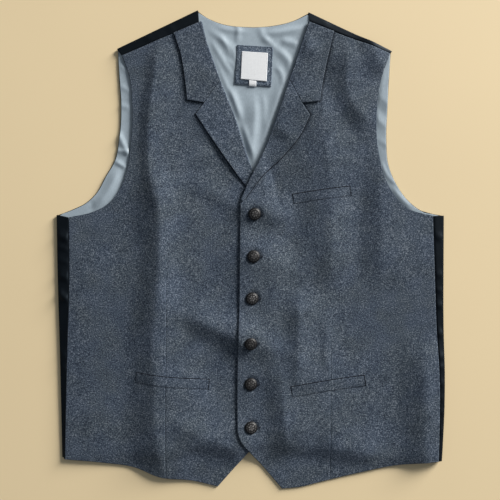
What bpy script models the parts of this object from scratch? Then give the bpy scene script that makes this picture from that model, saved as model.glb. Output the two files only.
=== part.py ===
"""Traditional wool vest, buttoned and laid flat on its back.

The satin back lies on the floor and turns over at the sides and shoulders to meet the wool fronts.
The wearer's left front (+X) laps over the right one (-X). +Y points to the collar, +Z up.
Outlines and folds are in millimetres, in the plan seen from above. All other sizes are in metres.
"""

import math
from collections import namedtuple

import bmesh
import bpy
import numpy as np
from mathutils import Vector
from mathutils.bvhtree import BVHTree

for old in list(bpy.data.objects):
    bpy.data.objects.remove(old, do_unlink=True)

MM = 0.001

# Walls of cloth, and the gaps between layers
BACK_WALL = 1.0 * MM
LINING_WALL = 1.0 * MM
FRONT_WALL = 2.0 * MM
LEAF_WALL = 2.2 * MM
WELT_WALL = 1.2 * MM
PATCH_WALL = 1.2 * MM
LABEL_WALL = 1.0 * MM
LAYER_GAP = 0.3 * MM
SEAM_GAP = 0.3 * MM
PATCH_GAP = 0.4 * MM

# Heights of the layers above the floor
LINING_Z = BACK_WALL + LAYER_GAP
FRONT_Z = LINING_Z + LINING_WALL + 0.6 * MM
HEM_DROP = 26 * MM

# The back's turned strips: half the height of the turn, which is also its reach in plan
STRIP_REACH = (FRONT_Z + FRONT_WALL / 2 - BACK_WALL / 2) / 2
STRIP_INSET = STRIP_REACH + BACK_WALL / 2

# The collar's and lapels' soft roll
ROLL_GAP = 1.0 * MM
BREAK_GAP = 0.7 * MM
BREAK_EASE = 0.3 * MM
ROLL_REACH = 1.55 * MM
ROLL_INSET = ROLL_REACH + LEAF_WALL / 2

# The left front's rise over the right front, and over the end of the right lapel
LAP_RISE = FRONT_WALL + 0.8 * MM
LAP_SLOPE = 30 * MM
LAPEL_RISE = 3.2 * MM
LAPEL_END = ((-3, 108), (16, 69))
LAPEL_END_RADIUS = 12 * MM

# Number of grid steps
COLLAR_ROWS = 6
LAPEL_ROWS = 10
ARMHOLE_ROWS = COLLAR_ROWS + LAPEL_ROWS
EDGE_ROWS = 11
CUTAWAY_ROWS = 5
SIDE_ROWS = EDGE_ROWS + CUTAWAY_ROWS
FRONT_COLUMNS = 18
SHOULDER_COLUMNS = 5
NECK_COLUMNS = 6
STRIP_TURN = 5
STRIP_FLAT = 2
ROLL_TURN = 6
GORGE_COLUMNS = 4
NOTCH_COLUMNS = 2
BUTTON_SIDES = 16

# The middle of the garment's outline, which is put at the origin
CENTRE_X = -0.443 * MM
CENTRE_Y = 0.196 * MM

# Plan outlines of each half: right is the wearer's right, at -X
Half = namedtuple("Half", "shoulder_fold shoulder_seam armhole_back armhole_front side_fold side_seam "
                          "hem roll edge cutaway collar_edge collar_corner gorge notch lapel_edge")
RIGHT = Half(
    shoulder_fold=((-75.5, 341.0), (-190.5, 286.0)),
    shoulder_seam=((-73.5, 323.5), (-183.5, 276.0)),
    armhole_back=((-188, 246.5), (-185.5, 204), (-188, 158.5), (-194, 127.5), (-207, 104.5),
                  (-220.5, 80.5), (-235.5, 66.5), (-252.5, 58)),
    armhole_front=((-183.5, 276), (-173.5, 248), (-169, 205.5), (-171.5, 146), (-177, 110.5),
                   (-188.5, 82), (-204, 64.5), (-225.5, 53.5), (-259, 46)),
    side_fold=((-276.5, 49.5), (-275, -36), (-272, -142.5), (-268.5, -295.5)),
    side_seam=((-259, 46), (-258.5, -57), (-261, -139.5), (-264.5, -298)),
    hem=((-208.5, -303.5), (-163, -310.5), (-129, -323.5), (-83.5, -329)),
    roll=((-69, 324.5), (-63.5, 300.5), (-53.5, 271), (-38.5, 229.5), (-23, 191.5), (-10, 151),
          (3, 113), (24, 69)),
    edge=((24, 62.5), (22, -100), (19.5, -256)),
    cutaway=((19.5, -256), (16.5, -265), (-2.5, -287), (-25, -312.5), (-47, -337.5)),
    collar_edge=((-109.5, 307.6), (-100.5, 281), (-94.5, 248), (-90.5, 212.5)),
    collar_corner=(-90.5, 212.5),
    gorge=(-43, 240.5),
    notch=(-66.5, 208.5),
    lapel_edge=((-78.5, 192.5), (-58, 161.5), (-29.5, 120.5), (-6.5, 90), (19, 66.5)),
)
LEFT = Half(
    shoulder_fold=((82.5, 338.5), (200.5, 282.0)),
    shoulder_seam=((83.5, 324.0), (197.5, 278.0)),
    armhole_back=((197, 241), (195, 201.5), (193.5, 156), (196.5, 120.5), (208.5, 92),
                  (225.5, 69), (244.5, 55)),
    armhole_front=((197.5, 278), (186.5, 248), (180, 210), (178.5, 177), (182, 137.5),
                   (191.5, 99), (205, 75.5), (223.5, 58.5), (259, 48)),
    side_fold=((275, 48.5), (274.5, -71.5), (275, -227.5), (271.5, -300)),
    side_seam=((259, 48), (263.5, -91), (267.5, -203.5), (266, -300)),
    hem=((209, -306.5), (144, -320), (98.5, -331), (70, -338)),
    roll=((81.7, 324.2), (75, 304), (57, 250.5), (36, 188.5), (14.5, 133), (-5.5, 93.5), (-15, 70.5)),
    edge=((-15, 64), (-16.5, -71.5), (-19.5, -213.5), (-19, -257.5)),
    cutaway=((-19, -257.5), (-15.5, -268.5), (-2.5, -286), (20, -312), (44.5, -340.5)),
    collar_edge=((118, 309.8), (111, 281), (102.5, 241), (97.5, 209.5)),
    collar_corner=(97.5, 209.5),
    gorge=(54.5, 241),
    notch=(73, 207.3),
    lapel_edge=((83.5, 190), (68.5, 160), (46, 133), (16, 104), (-10.5, 68)),
)
NECK = ((-62, 330.5), (-41, 322), (-4, 317.5), (36, 320), (60, 326))
BACK_HEM = ((-143, -278.5), (2, -270), (141, -281.5))

# Where the rows fall along the side and along the cutaway, as shares of each line's length
UPPER_SHARES = np.linspace(0.02, 0.82, EDGE_ROWS)
SIDE_SHARES = np.concatenate([[0], UPPER_SHARES, np.linspace(0.82, 1, CUTAWAY_ROWS + 1)[1:]])
CUTAWAY_SHARES = np.array([0, 0.08, 0.2, 0.42, 0.7, 1])

# Largest folds of the fronts: a crest from (x0, y0) to (x1, y1), with its width on the left and on the
# right of that line, and its height
Fold = namedtuple("Fold", "x0 y0 x1 y1 left right height")
FOLD_FADE = 25 * MM
FOLDS = (
    Fold(-141.5, 281, -146, 99, 24, 18, 2.6),
    Fold(-129, 92, -129, -114, 24, 18, 2.4),
    Fold(-129, -114, -132.5, -324, 24, 30, 2.8),
    Fold(-92, -85.5, -18, -131, 24, 18, 1.8),
    Fold(-103.5, -239, -26.5, -295.5, 24, 18, 2.0),
    Fold(108.5, 198.5, 114, 70.5, 24, 18, 2.2),
    Fold(114, 70.5, 108.5, -71.5, 24, 18, 2.2),
    Fold(141, 262.5, 178, 195.5, 18, 18, 2.0),
    Fold(67, -71.5, 71.5, -185, 24, 18, 2.4),
    Fold(53, -206.5, 64.5, -313, 24, 18, 2.0),
    Fold(240.5, -78.5, 246, -295.5, 18, 22, 2.4),
    Fold(141, -277.5, 152.5, -315.5, 18, 18, 1.6),
)

# Pocket welts: the ends of each welt's middle line, how far that line bows up, and the welt's height
Welt = namedtuple("Welt", "name x0 y0 x1 y1 bow height")
WELTS = (
    Welt("breast_welt_left", 60.5, 72, 141, 83.5, 0.5, 12.5),
    Welt("pocket_welt_left", 58, -200.5, 161.5, -185.5, 0.5, 14),
    Welt("pocket_welt_right", -162, -180.5, -60, -190.5, -1.5, 13),
)

# Buttons down the front: place, and lean to the right and toward the collar in degrees
Button = namedtuple("Button", "x y lean_right lean_up")
BUTTONS = (
    Button(5.5, 50.5, 1.5, 2.0),
    Button(4, -9.5, -1.0, 1.5),
    Button(2, -69, 2.0, -1.0),
    Button(0, -132.5, -1.5, 1.0),
    Button(0, -190.5, 1.0, 2.0),
    Button(0.5, -251.5, -1.5, -1.5),
)
# Turned profile of a button, top to bottom: radius and height
BUTTON_PROFILE = ((0, 5.4), (3.0, 5.2), (5.6, 4.4), (7.6, 3.1), (8.7, 1.9), (9.0, 1.3), (8.3, 0.6),
                  (5.0, 0), (0, 0))

# Corners of the pieces inside the neck: upper left, upper right, lower left, lower right
Piece = namedtuple("Piece", "upper_left upper_right lower_left lower_right")
PATCH = Piece((-19.5, 291.5), (31.5, 288.5), (-23, 235.5), (29.5, 232))
LABEL = Piece((-12.5, 282), (24.5, 279.5), (-14.5, 242.5), (22.5, 239))
TAB = Piece((-2.5, 240.9), (8, 239.9), (-2.5, 232.5), (7.5, 231.8))


def smooth_step(share):
    share = np.clip(share, 0, 1)
    return share * share * (3 - 2 * share)


def line(points, shares):
    """Points at these shares of the length of a smooth line through a table's points, in its unit."""
    knots = np.array(points, float)
    gaps = np.linalg.norm(np.diff(knots, axis=0), axis=1)
    slopes = np.diff(knots, axis=0) / gaps[:, None]
    tangents = np.vstack([slopes[:1], slopes])
    for k in range(1, len(gaps)):
        before, after = gaps[k - 1], gaps[k]
        tangents[k] = (slopes[k - 1] * after + slopes[k] * before) / (before + after)
    dense = [knots[0]]
    for k, gap in enumerate(gaps):
        for t in np.linspace(0, 1, 17)[1:]:
            start = knots[k] * (1 + 2 * t) * (1 - t) ** 2 + tangents[k] * gap * t * (1 - t) ** 2
            end = knots[k + 1] * t * t * (3 - 2 * t) + tangents[k + 1] * gap * t * t * (t - 1)
            dense.append(start + end)
    dense = np.array(dense)
    run = np.concatenate([[0], np.cumsum(np.linalg.norm(np.diff(dense, axis=0), axis=1))])
    at = np.asarray(shares) * run[-1]
    return np.column_stack([np.interp(at, run, dense[:, 0]), np.interp(at, run, dense[:, 1])])


def even(steps):
    return np.linspace(0, 1, steps + 1)


def inward(points, half):
    """Unit normals of a plan line, pointing into that half of the garment from its outer side."""
    along = np.gradient(points, axis=0)
    along /= np.linalg.norm(along, axis=1)[:, None]
    across = np.column_stack([-along[:, 1], along[:, 0]])
    return across if half is RIGHT else -across


def patch(top, bottom, left, right):
    """Plan grid that fills four border lines."""
    rows = len(left) - 1
    columns = len(top) - 1
    grid = np.zeros((rows + 1, columns + 1, 2))
    for i, v in enumerate(even(rows)):
        for j, u in enumerate(even(columns)):
            ruled = (1 - u) * left[i] + u * right[i] + (1 - v) * top[j] + v * bottom[j]
            upper = (1 - u) * top[0] + u * top[-1]
            lower = (1 - u) * bottom[0] + u * bottom[-1]
            grid[i, j] = ruled - (1 - v) * upper - v * lower
    return grid


def fold_height(x, y):
    total = 0.0
    for fold in FOLDS:
        start = np.array([fold.x0, fold.y0]) * MM
        run = np.array([fold.x1, fold.y1]) * MM - start
        length = np.linalg.norm(run)
        ahead = ((x - start[0]) * run[0] + (y - start[1]) * run[1]) / length
        leftward = ((y - start[1]) * run[0] - (x - start[0]) * run[1]) / length
        width = np.where(leftward > 0, fold.left, fold.right) * MM
        ends = smooth_step((ahead + FOLD_FADE) / (2 * FOLD_FADE))
        ends = ends * smooth_step((length - ahead + FOLD_FADE) / (2 * FOLD_FADE))
        total = total + fold.height * MM * ends * np.exp(-(leftward / width) ** 2)
    return total


HEM_LINE = line((RIGHT.side_fold[-1],) + BACK_HEM + (LEFT.side_fold[-1],), even(40)) * MM
RIGHT_EDGE = np.vstack([line(RIGHT.roll, even(20)), line(RIGHT.edge, even(10))[1:],
                        line(RIGHT.cutaway, even(10))[1:]])[::-1] * MM


def lap_rise(x, y):
    """Rise of the left front where the right front, or the end of its lapel, is beneath it."""
    beyond = (x - np.interp(y, RIGHT_EDGE[:, 1], RIGHT_EDGE[:, 0])) * 0.8
    rise = LAP_RISE * (1 - smooth_step((beyond - 2 * MM) / LAP_SLOPE))
    start, end = np.array(LAPEL_END) * MM
    run = end - start
    share = np.clip(((x - start[0]) * run[0] + (y - start[1]) * run[1]) / (run @ run), 0, 1)
    away = np.hypot(x - start[0] - share * run[0], y - start[1] - share * run[1])
    return rise + LAPEL_RISE * (1 - smooth_step((away - LAPEL_END_RADIUS) / LAP_SLOPE))


def front_under(half, x, y):
    """Height of a front's underside: it lies on the lining, and reaches the floor beyond the back's hem."""
    past_hem = np.interp(x, HEM_LINE[:, 0], HEM_LINE[:, 1]) - y
    seat = FRONT_Z * (1 - smooth_step((past_hem - 1 * MM) / HEM_DROP))
    rise = lap_rise(x, y) if half is LEFT else 0
    return seat + fold_height(x, y) + rise


def raise_grid(grid, height):
    """Sections in space: a plan grid with a height for each of its points."""
    return [[Vector((x, y, height(x, y))) for x, y in row] for row in grid]


def turn_over(rim, normals, reach, inset, low, high, steps):
    """Sections of a sheet's half turn about a rim line, from its lower to its upper layer."""
    turned = []
    for point, normal, bottom, top in zip(rim, normals, low, high):
        section = []
        for angle in np.linspace(-math.pi / 2, math.pi / 2, steps + 1):
            x, y = point + normal * (inset - reach * math.cos(angle))
            section.append(Vector((x, y, (bottom + top) / 2 + (top - bottom) / 2 * math.sin(angle))))
        turned.append(section)
    return turned


parts = bpy.data.collections.new("trachten_vest")
bpy.context.scene.collection.children.link(parts)
vest = bpy.data.objects.new("vest", None)
vest.location = (-CENTRE_X, -CENTRE_Y, 0)
parts.objects.link(vest)


def add_part(name, mesh, colour, roughness, metallic=0.0):
    part = bpy.data.objects.new(name, mesh)
    parts.objects.link(part)
    part.parent = vest
    material = bpy.data.materials.new(name)
    material.use_nodes = True
    shader = material.node_tree.nodes["Principled BSDF"]
    shader.inputs["Base Color"].default_value = (*colour, 1)
    shader.inputs["Roughness"].default_value = roughness
    shader.inputs["Metallic"].default_value = metallic
    mesh.materials.append(material)
    return part


def add_sheet(name, grids, wall, side, colour, roughness):
    """A sheet through grids of section points, with its wall centred on them (0) or laid over them (1)."""
    shape = bmesh.new()
    for sections in grids:
        rows = len(sections) - 1
        columns = len(sections[0]) - 1
        grid = bmesh.ops.create_grid(shape, x_segments=columns, y_segments=rows, size=0.5)
        for vertex in grid["verts"]:
            row = rows - round((vertex.co.y + 0.5) * rows)
            column = round((vertex.co.x + 0.5) * columns)
            vertex.co = sections[row][column]
    if len(grids) > 1:
        bmesh.ops.remove_doubles(shape, verts=shape.verts, dist=0.01 * MM)
        bmesh.ops.recalc_face_normals(shape, faces=shape.faces)
    mesh = bpy.data.meshes.new(name)
    shape.to_mesh(mesh)
    shape.free()
    sheet = add_part(name, mesh, colour, roughness)
    thicken = sheet.modifiers.new("wall", "SOLIDIFY")
    thicken.thickness = wall
    thicken.offset = side
    return sheet


WOOL = (0.078, 0.089, 0.115)
SATIN_BLACK = (0.012, 0.012, 0.014)
SATIN_GREY = (0.20, 0.22, 0.26)
LABEL_WHITE = (0.62, 0.62, 0.60)
BRONZE = (0.10, 0.065, 0.035)

# Satin back: the flat panel, then a strip turned over at each side and each shoulder
rims = {}
for half in (RIGHT, LEFT):
    shoulder = line(half.shoulder_fold, even(SHOULDER_COLUMNS)) * MM
    side = line(half.side_fold, SIDE_SHARES) * MM
    shoulder_in = inward(shoulder, half)
    side_in = inward(side, half)
    rims[half] = (shoulder, shoulder_in, side, side_in)
borders = {}
for half, (shoulder, shoulder_in, side, side_in) in rims.items():
    shoulder_edge = shoulder + shoulder_in * STRIP_INSET
    side_edge = side + side_in * STRIP_INSET
    armhole = np.vstack([shoulder_edge[-1:] / MM, half.armhole_back, side_edge[:1] / MM])
    armhole_edge = line(armhole, even(ARMHOLE_ROWS)) * MM
    borders[half] = (shoulder_edge, np.vstack([armhole_edge, side_edge[1:]]))
neck = np.vstack([borders[RIGHT][0][:1] / MM, NECK, borders[LEFT][0][:1] / MM])
neck_edge = line(neck, even(NECK_COLUMNS)) * MM
back_top = np.vstack([borders[RIGHT][0][::-1], neck_edge[1:-1], borders[LEFT][0]])
back_hem = np.vstack([borders[RIGHT][1][-1:] / MM, BACK_HEM, borders[LEFT][1][-1:] / MM])
hem_edge = line(back_hem, even(2 * SHOULDER_COLUMNS + NECK_COLUMNS)) * MM
panel = patch(back_top, hem_edge, borders[RIGHT][1], borders[LEFT][1])
back_grids = [raise_grid(panel, lambda x, y: BACK_WALL / 2)]


def turned_strip(half, rim, normals, seam):
    """A strip of the back from its flat panel, round the fold, to the seam on top."""
    landing = rim + normals * STRIP_INSET
    low = [BACK_WALL / 2] * len(rim)
    high = [front_under(half, x, y) + FRONT_WALL / 2 for x, y in landing]
    sections = turn_over(rim, normals, STRIP_REACH, STRIP_INSET, low, high, STRIP_TURN)
    for section, start, end in zip(sections, landing, seam):
        for share in even(STRIP_FLAT)[1:]:
            x, y = start + (end - start) * share
            section.append(Vector((x, y, front_under(half, x, y) + FRONT_WALL / 2)))
    return sections


for half, (shoulder, shoulder_in, side, side_in) in rims.items():
    side_seam = line(half.side_seam, SIDE_SHARES) * MM
    side_seam = side_seam - inward(side_seam, half) * SEAM_GAP / 2
    back_grids.append(turned_strip(half, side, side_in, side_seam))
    shoulder_seam = line(half.shoulder_seam, even(SHOULDER_COLUMNS)) * MM
    shoulder_seam = shoulder_seam - shoulder_in * SEAM_GAP / 2
    back_grids.append(turned_strip(half, shoulder, shoulder_in, shoulder_seam))
add_sheet("back", back_grids, BACK_WALL, 0, SATIN_BLACK, 0.4)

# Satin lining on the inside of the back: a little inside its cut edges, and well inside its folds
LINING_EDGE = 1.0 * MM
LINING_FOLD = 2.2 * MM
LINING_HEM = 9.0 * MM
LINING_ROWS = (9, 7)
LINING_COLUMNS = (3, 6, 3)
lining_sides = {}
for half, (shoulder, shoulder_in, side, side_in) in rims.items():
    shoulder_edge = shoulder + shoulder_in * (STRIP_INSET + LINING_FOLD)
    side_edge = side + side_in * (STRIP_INSET + LINING_FOLD)
    armhole = np.vstack([half.shoulder_fold[-1:], half.armhole_back, half.side_fold[:1]])
    armhole = line(armhole, even(12)) * MM
    armhole = (armhole + inward(armhole, half) * LINING_EDGE)[1:-1]
    armhole = np.vstack([shoulder_edge[-1:], armhole, side_edge[:1] - [0, LINING_EDGE]])
    upper = line(armhole / MM, even(LINING_ROWS[0])) * MM
    lower = line(np.vstack([upper[-1:], side_edge[3:-1:3], side_edge[-1:] + [0, LINING_HEM]]) / MM,
                 even(LINING_ROWS[1])) * MM
    top = line(shoulder_edge / MM, even(LINING_COLUMNS[0])) * MM
    lining_sides[half] = (top, np.vstack([upper, lower[1:]]))
lining_neck = line(np.vstack([lining_sides[RIGHT][0][:1] / MM, np.array(NECK) - [0, LINING_EDGE / MM],
                              lining_sides[LEFT][0][:1] / MM]), even(LINING_COLUMNS[1])) * MM
lining_top = np.vstack([lining_sides[RIGHT][0][::-1], lining_neck[1:-1], lining_sides[LEFT][0]])
lining_hem = line(np.vstack([lining_sides[RIGHT][1][-1:] / MM, np.array(BACK_HEM) + [0, LINING_HEM / MM],
                             lining_sides[LEFT][1][-1:] / MM]), even(sum(LINING_COLUMNS))) * MM
lining_plan = patch(lining_top, lining_hem, lining_sides[RIGHT][1], lining_sides[LEFT][1])
lining = raise_grid(lining_plan, lambda x, y: LINING_Z)
add_sheet("back_lining", [lining], LINING_WALL, 1, SATIN_GREY, 0.35)

# The neck's roll line in each half: even steps to the gorge seam, then even steps to the break
rolls = {}
for half in (RIGHT, LEFT):
    dense = line(half.roll, even(400))
    split = int(np.argmin(np.linalg.norm(dense - half.gorge, axis=1)))
    above = line(dense[:split + 1], even(COLLAR_ROWS))
    below = line(dense[split:], even(LAPEL_ROWS))
    rim = np.vstack([above, below[1:]]) * MM
    rolls[half] = (rim, -inward(rim, half))

# Wool fronts: armhole and side seam on the outside, neck roll, front edge and cutaway on the inside
fronts = {}
for half, name in ((RIGHT, "front_right"), (LEFT, "front_left")):
    armhole = line(half.armhole_front, even(ARMHOLE_ROWS)) * MM
    side = line(half.side_seam, SIDE_SHARES) * MM
    side = side + inward(side, half) * SEAM_GAP / 2
    outer = np.vstack([armhole[:-1], side])
    outer[0] = outer[0] + (outer[1] - outer[0]) * 0.02
    rim, rim_in = rolls[half]
    edge = line(half.edge, even(EDGE_ROWS - 1)) * MM
    cutaway = line(half.cutaway, CUTAWAY_SHARES) * MM
    ease = ROLL_INSET + SEAM_GAP + BREAK_EASE * even(ARMHOLE_ROWS) ** 6
    inner = np.vstack([rim + rim_in * ease[:, None], edge, cutaway[1:]])
    shoulder = line((outer[0] / MM, inner[0] / MM), even(FRONT_COLUMNS)) * MM
    hem = line(np.vstack([outer[-1:] / MM, half.hem, inner[-1:] / MM]), even(FRONT_COLUMNS)) * MM
    if half is RIGHT:
        plan = patch(shoulder, hem, outer, inner)
    else:
        plan = patch(shoulder[::-1], hem[::-1], inner, outer)
    sections = raise_grid(plan, lambda x, y: front_under(half, x, y))
    fronts[half] = add_sheet(name, [sections], FRONT_WALL, 1, WOOL, 0.9)


# What lies on a front: its points are found on the front's upper face and moved out
def upper_face(half, front):
    graph = bpy.context.evaluated_depsgraph_get()
    tree = BVHTree.FromObject(front, graph)

    def height(x, y):
        hit = tree.ray_cast(Vector((x, y, 1)), Vector((0, 0, -1)))[0]
        return hit.z if hit else front_under(half, x, y) + FRONT_WALL
    return height


on_front = {half: upper_face(half, front) for half, front in fronts.items()}


# Collar leaves and lapels: each rolls over the neck edge and lies on its front
def turned_leaf(name, half, rim, rim_in, first, last, outer, end_gap, lift_start, lift):
    """A leaf from the neck edge, round its roll, to its outer edge. It lifts toward that edge."""
    landing = rim + rim_in * ROLL_INSET
    plan = patch(first, last, landing, outer)
    gaps = ROLL_GAP + (end_gap - ROLL_GAP) * smooth_step(even(len(rim) - 1))
    low = np.array([front_under(half, x, y) + FRONT_WALL / 2 for x, y in landing])
    high = low + FRONT_WALL / 2 + gaps + LEAF_WALL / 2
    sections = turn_over(rim, rim_in, ROLL_REACH, ROLL_INSET, low, high, ROLL_TURN)
    for section, row, gap in zip(sections, plan, gaps):
        for share, (x, y) in zip(even(len(row) - 1)[1:], row[1:]):
            edge_lift = lift * share ** 2 * smooth_step((y - lift_start) / LIFT_LENGTH)
            section.append(Vector((x, y, on_front[half](x, y) + gap + LEAF_WALL / 2 + edge_lift)))
    return add_sheet(name, [sections], LEAF_WALL, 0, WOOL, 0.9)


def bent_row(start, bend, end):
    """A row that runs straight to the notch and straight on to the corner beyond it."""
    seam = np.linspace(start, bend, GORGE_COLUMNS + 1)
    return np.vstack([seam, np.linspace(bend, end, NOTCH_COLUMNS + 1)[1:]])


LIFT_LENGTH = 45 * MM
COLLAR_LIFT_FROM = 100 * MM
LAPEL_LIFT_FROM = 105 * MM
for half, side_name, lift in ((RIGHT, "right", 2.2 * MM), (LEFT, "left", 1.6 * MM)):
    rim, rim_in = rolls[half]
    notch = np.array(half.notch) * MM
    down = (rim[COLLAR_ROWS + 1] - rim[COLLAR_ROWS - 1]) / 2
    down = down / np.linalg.norm(down) * SEAM_GAP * 0.7

    upper_rim = rim[:COLLAR_ROWS + 1].copy()
    upper_rim[-1] -= down
    upper_in = rim_in[:COLLAR_ROWS + 1]
    collar_edge = line(half.collar_edge, even(COLLAR_ROWS)) * MM
    collar_start = upper_rim[[0, -1]] + upper_in[[0, -1]] * ROLL_INSET
    first = np.linspace(collar_start[0], collar_edge[0], GORGE_COLUMNS + NOTCH_COLUMNS + 1)
    last = bent_row(collar_start[1], notch - down, collar_edge[-1])
    turned_leaf("collar_" + side_name, half, upper_rim, upper_in, first, last, collar_edge, ROLL_GAP,
                COLLAR_LIFT_FROM, lift)

    lower_rim = rim[COLLAR_ROWS:].copy()
    lower_rim[0] += down
    lower_in = rim_in[COLLAR_ROWS:]
    lapel_edge = line(half.lapel_edge, even(LAPEL_ROWS)) * MM
    lapel_start = lower_rim[[0, -1]] + lower_in[[0, -1]] * ROLL_INSET
    first = bent_row(lapel_start[0], notch + down, lapel_edge[0])
    last = np.linspace(lapel_start[1], lapel_edge[-1], GORGE_COLUMNS + NOTCH_COLUMNS + 1)
    turned_leaf("lapel_" + side_name, half, lower_rim, lower_in, first, last, lapel_edge, BREAK_GAP,
                LAPEL_LIFT_FROM, lift)


# Pocket welts, each a strip that lies on its front
WELT_GAP = 0.4 * MM
WELT_STEPS = 18
for welt in WELTS:
    half = RIGHT if welt.x0 < 0 else LEFT
    middle = line(((welt.x0, welt.y0), ((welt.x0 + welt.x1) / 2, (welt.y0 + welt.y1) / 2 + welt.bow),
                   (welt.x1, welt.y1)), even(WELT_STEPS)) * MM
    up = np.array([welt.y0 - welt.y1, welt.x1 - welt.x0]) / math.hypot(welt.x1 - welt.x0, welt.y1 - welt.y0)
    plan = [middle + up * welt.height * MM * share for share in (0.5, 0, -0.5)]
    sections = raise_grid(plan, lambda x, y: on_front[half](x, y) + WELT_GAP)
    add_sheet(welt.name, [sections], WELT_WALL, 1, WOOL, 0.9)

# Domed buttons, each leaning a little with the cloth beneath it
BUTTON_GAP = 0.3 * MM
BUTTON_FOOT = 5.0 * MM
BUTTON_RADIUS = 9.0 * MM
for number, button in enumerate(BUTTONS, 1):
    x, y = button.x * MM, button.y * MM
    profile = bmesh.new()
    knots = [profile.verts.new((radius * MM, 0, height * MM)) for radius, height in BUTTON_PROFILE]
    for upper_knot, lower_knot in zip(knots, knots[1:]):
        profile.edges.new((upper_knot, lower_knot))
    mesh = bpy.data.meshes.new(f"button_{number}")
    profile.to_mesh(mesh)
    profile.free()
    part = add_part(f"button_{number}", mesh, BRONZE, 0.45, 0.8)
    turn = part.modifiers.new("turn", "SCREW")
    turn.axis = "Z"
    turn.steps = BUTTON_SIDES
    turn.render_steps = BUTTON_SIDES
    turn.use_merge_vertices = True
    turn.merge_threshold = 0.00005
    turn.use_smooth_shade = True
    top = on_front[LEFT]
    slope_x = (top(x + BUTTON_FOOT, y) - top(x - BUTTON_FOOT, y)) / (2 * BUTTON_FOOT)
    slope_y = (top(x, y + BUTTON_FOOT) - top(x, y - BUTTON_FOOT)) / (2 * BUTTON_FOOT)
    lean_right = math.radians(button.lean_right) - math.atan(slope_x)
    lean_up = math.radians(button.lean_up) - math.atan(slope_y)
    part.rotation_euler = (-lean_up, lean_right, 0)
    clear = -1.0
    for turn_step in range(24):
        angle = math.tau * turn_step / 24
        for radius, rise in ((BUTTON_FOOT, 0), (0.7 * BUTTON_RADIUS, 0.25 * MM), (BUTTON_RADIUS, 1.2 * MM)):
            across, along = radius * math.cos(angle), radius * math.sin(angle)
            under = rise - across * math.sin(lean_right) - along * math.sin(lean_up)
            clear = max(clear, top(x + across, y + along) - under)
    part.location = (x, y, clear + BUTTON_GAP)

# Wool patch on the lining, the woven label on the patch, and the small tab below the label
LINING_TOP = LINING_Z + LINING_WALL


def add_flat_piece(name, piece, columns, rows, under, wall, colour, roughness):
    corners = [np.array(corner) * MM for corner in piece]
    left = np.linspace(corners[0], corners[2], rows + 1)
    right = np.linspace(corners[1], corners[3], rows + 1)
    top = np.linspace(corners[0], corners[1], columns + 1)
    bottom = np.linspace(corners[2], corners[3], columns + 1)
    sections = raise_grid(patch(top, bottom, left, right), lambda x, y: under)
    add_sheet(name, [sections], wall, 1, colour, roughness)


patch_under = LINING_TOP + PATCH_GAP
on_patch = patch_under + PATCH_WALL + PATCH_GAP
add_flat_piece("label_patch", PATCH, 4, 5, patch_under, PATCH_WALL, WOOL, 0.9)
add_flat_piece("label", LABEL, 3, 3, on_patch, LABEL_WALL, LABEL_WHITE, 0.6)
add_flat_piece("size_tab", TAB, 1, 1, on_patch, LABEL_WALL, LABEL_WHITE, 0.6)
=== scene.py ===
import math
from collections import namedtuple
from functools import partial

import bpy
import numpy as np
from mathutils import Euler, Matrix, Vector, kdtree


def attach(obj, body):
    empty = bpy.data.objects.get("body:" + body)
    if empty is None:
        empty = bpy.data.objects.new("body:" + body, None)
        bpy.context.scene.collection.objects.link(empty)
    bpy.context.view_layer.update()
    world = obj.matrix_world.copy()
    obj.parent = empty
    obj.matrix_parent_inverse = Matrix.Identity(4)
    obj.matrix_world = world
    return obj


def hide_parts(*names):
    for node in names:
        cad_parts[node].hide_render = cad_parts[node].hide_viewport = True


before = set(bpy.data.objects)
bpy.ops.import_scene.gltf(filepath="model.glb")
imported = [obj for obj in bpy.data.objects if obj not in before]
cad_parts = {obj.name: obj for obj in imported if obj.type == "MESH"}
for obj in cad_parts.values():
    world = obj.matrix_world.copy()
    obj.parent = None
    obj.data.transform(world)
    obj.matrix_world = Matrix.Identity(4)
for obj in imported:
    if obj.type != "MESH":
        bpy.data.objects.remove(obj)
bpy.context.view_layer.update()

# Wool fronts: two cuts of mottled blue-grey wool, each with a pressed dart down to its hem. They lie on
# the lining, and on the floor beyond the back's hem, and the wearer's left front laps over the right one.
# All outlines are in millimetres in the plan seen from above, and the frame's origin is at PLAN_MIDDLE.
MM = 0.001
PLAN_MIDDLE = np.array([-0.443, 0.196, 0])
FRONT_WALL = 2.0
FRONT_Z = 2.9
SEAM_GAP = 0.3
HEM_LEVEL = 1
HEM_DROP = 26
LAP_RISE = 2.8
LAP_LEVEL = 2
LAP_LEAN = 0.8
LAP_SLOPE = 30
LAPEL_RISE = 1.2
LAPEL_END = np.array([(-3, 108), (16, 69)])
LAPEL_END_RADIUS = 12
ROLL_REACH = 0.9
ROLL_INSET = 2.0
BREAK_EASE = 0.3
EASE_POWER = 6
CURVE_STEPS = 24
LINE_STEPS = 60
EDGE_STEPS = 20
BACK_HEM = ((-268.5, -295.5), (-143, -278.5), (2, -270), (141, -281.5), (271.5, -300))

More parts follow.
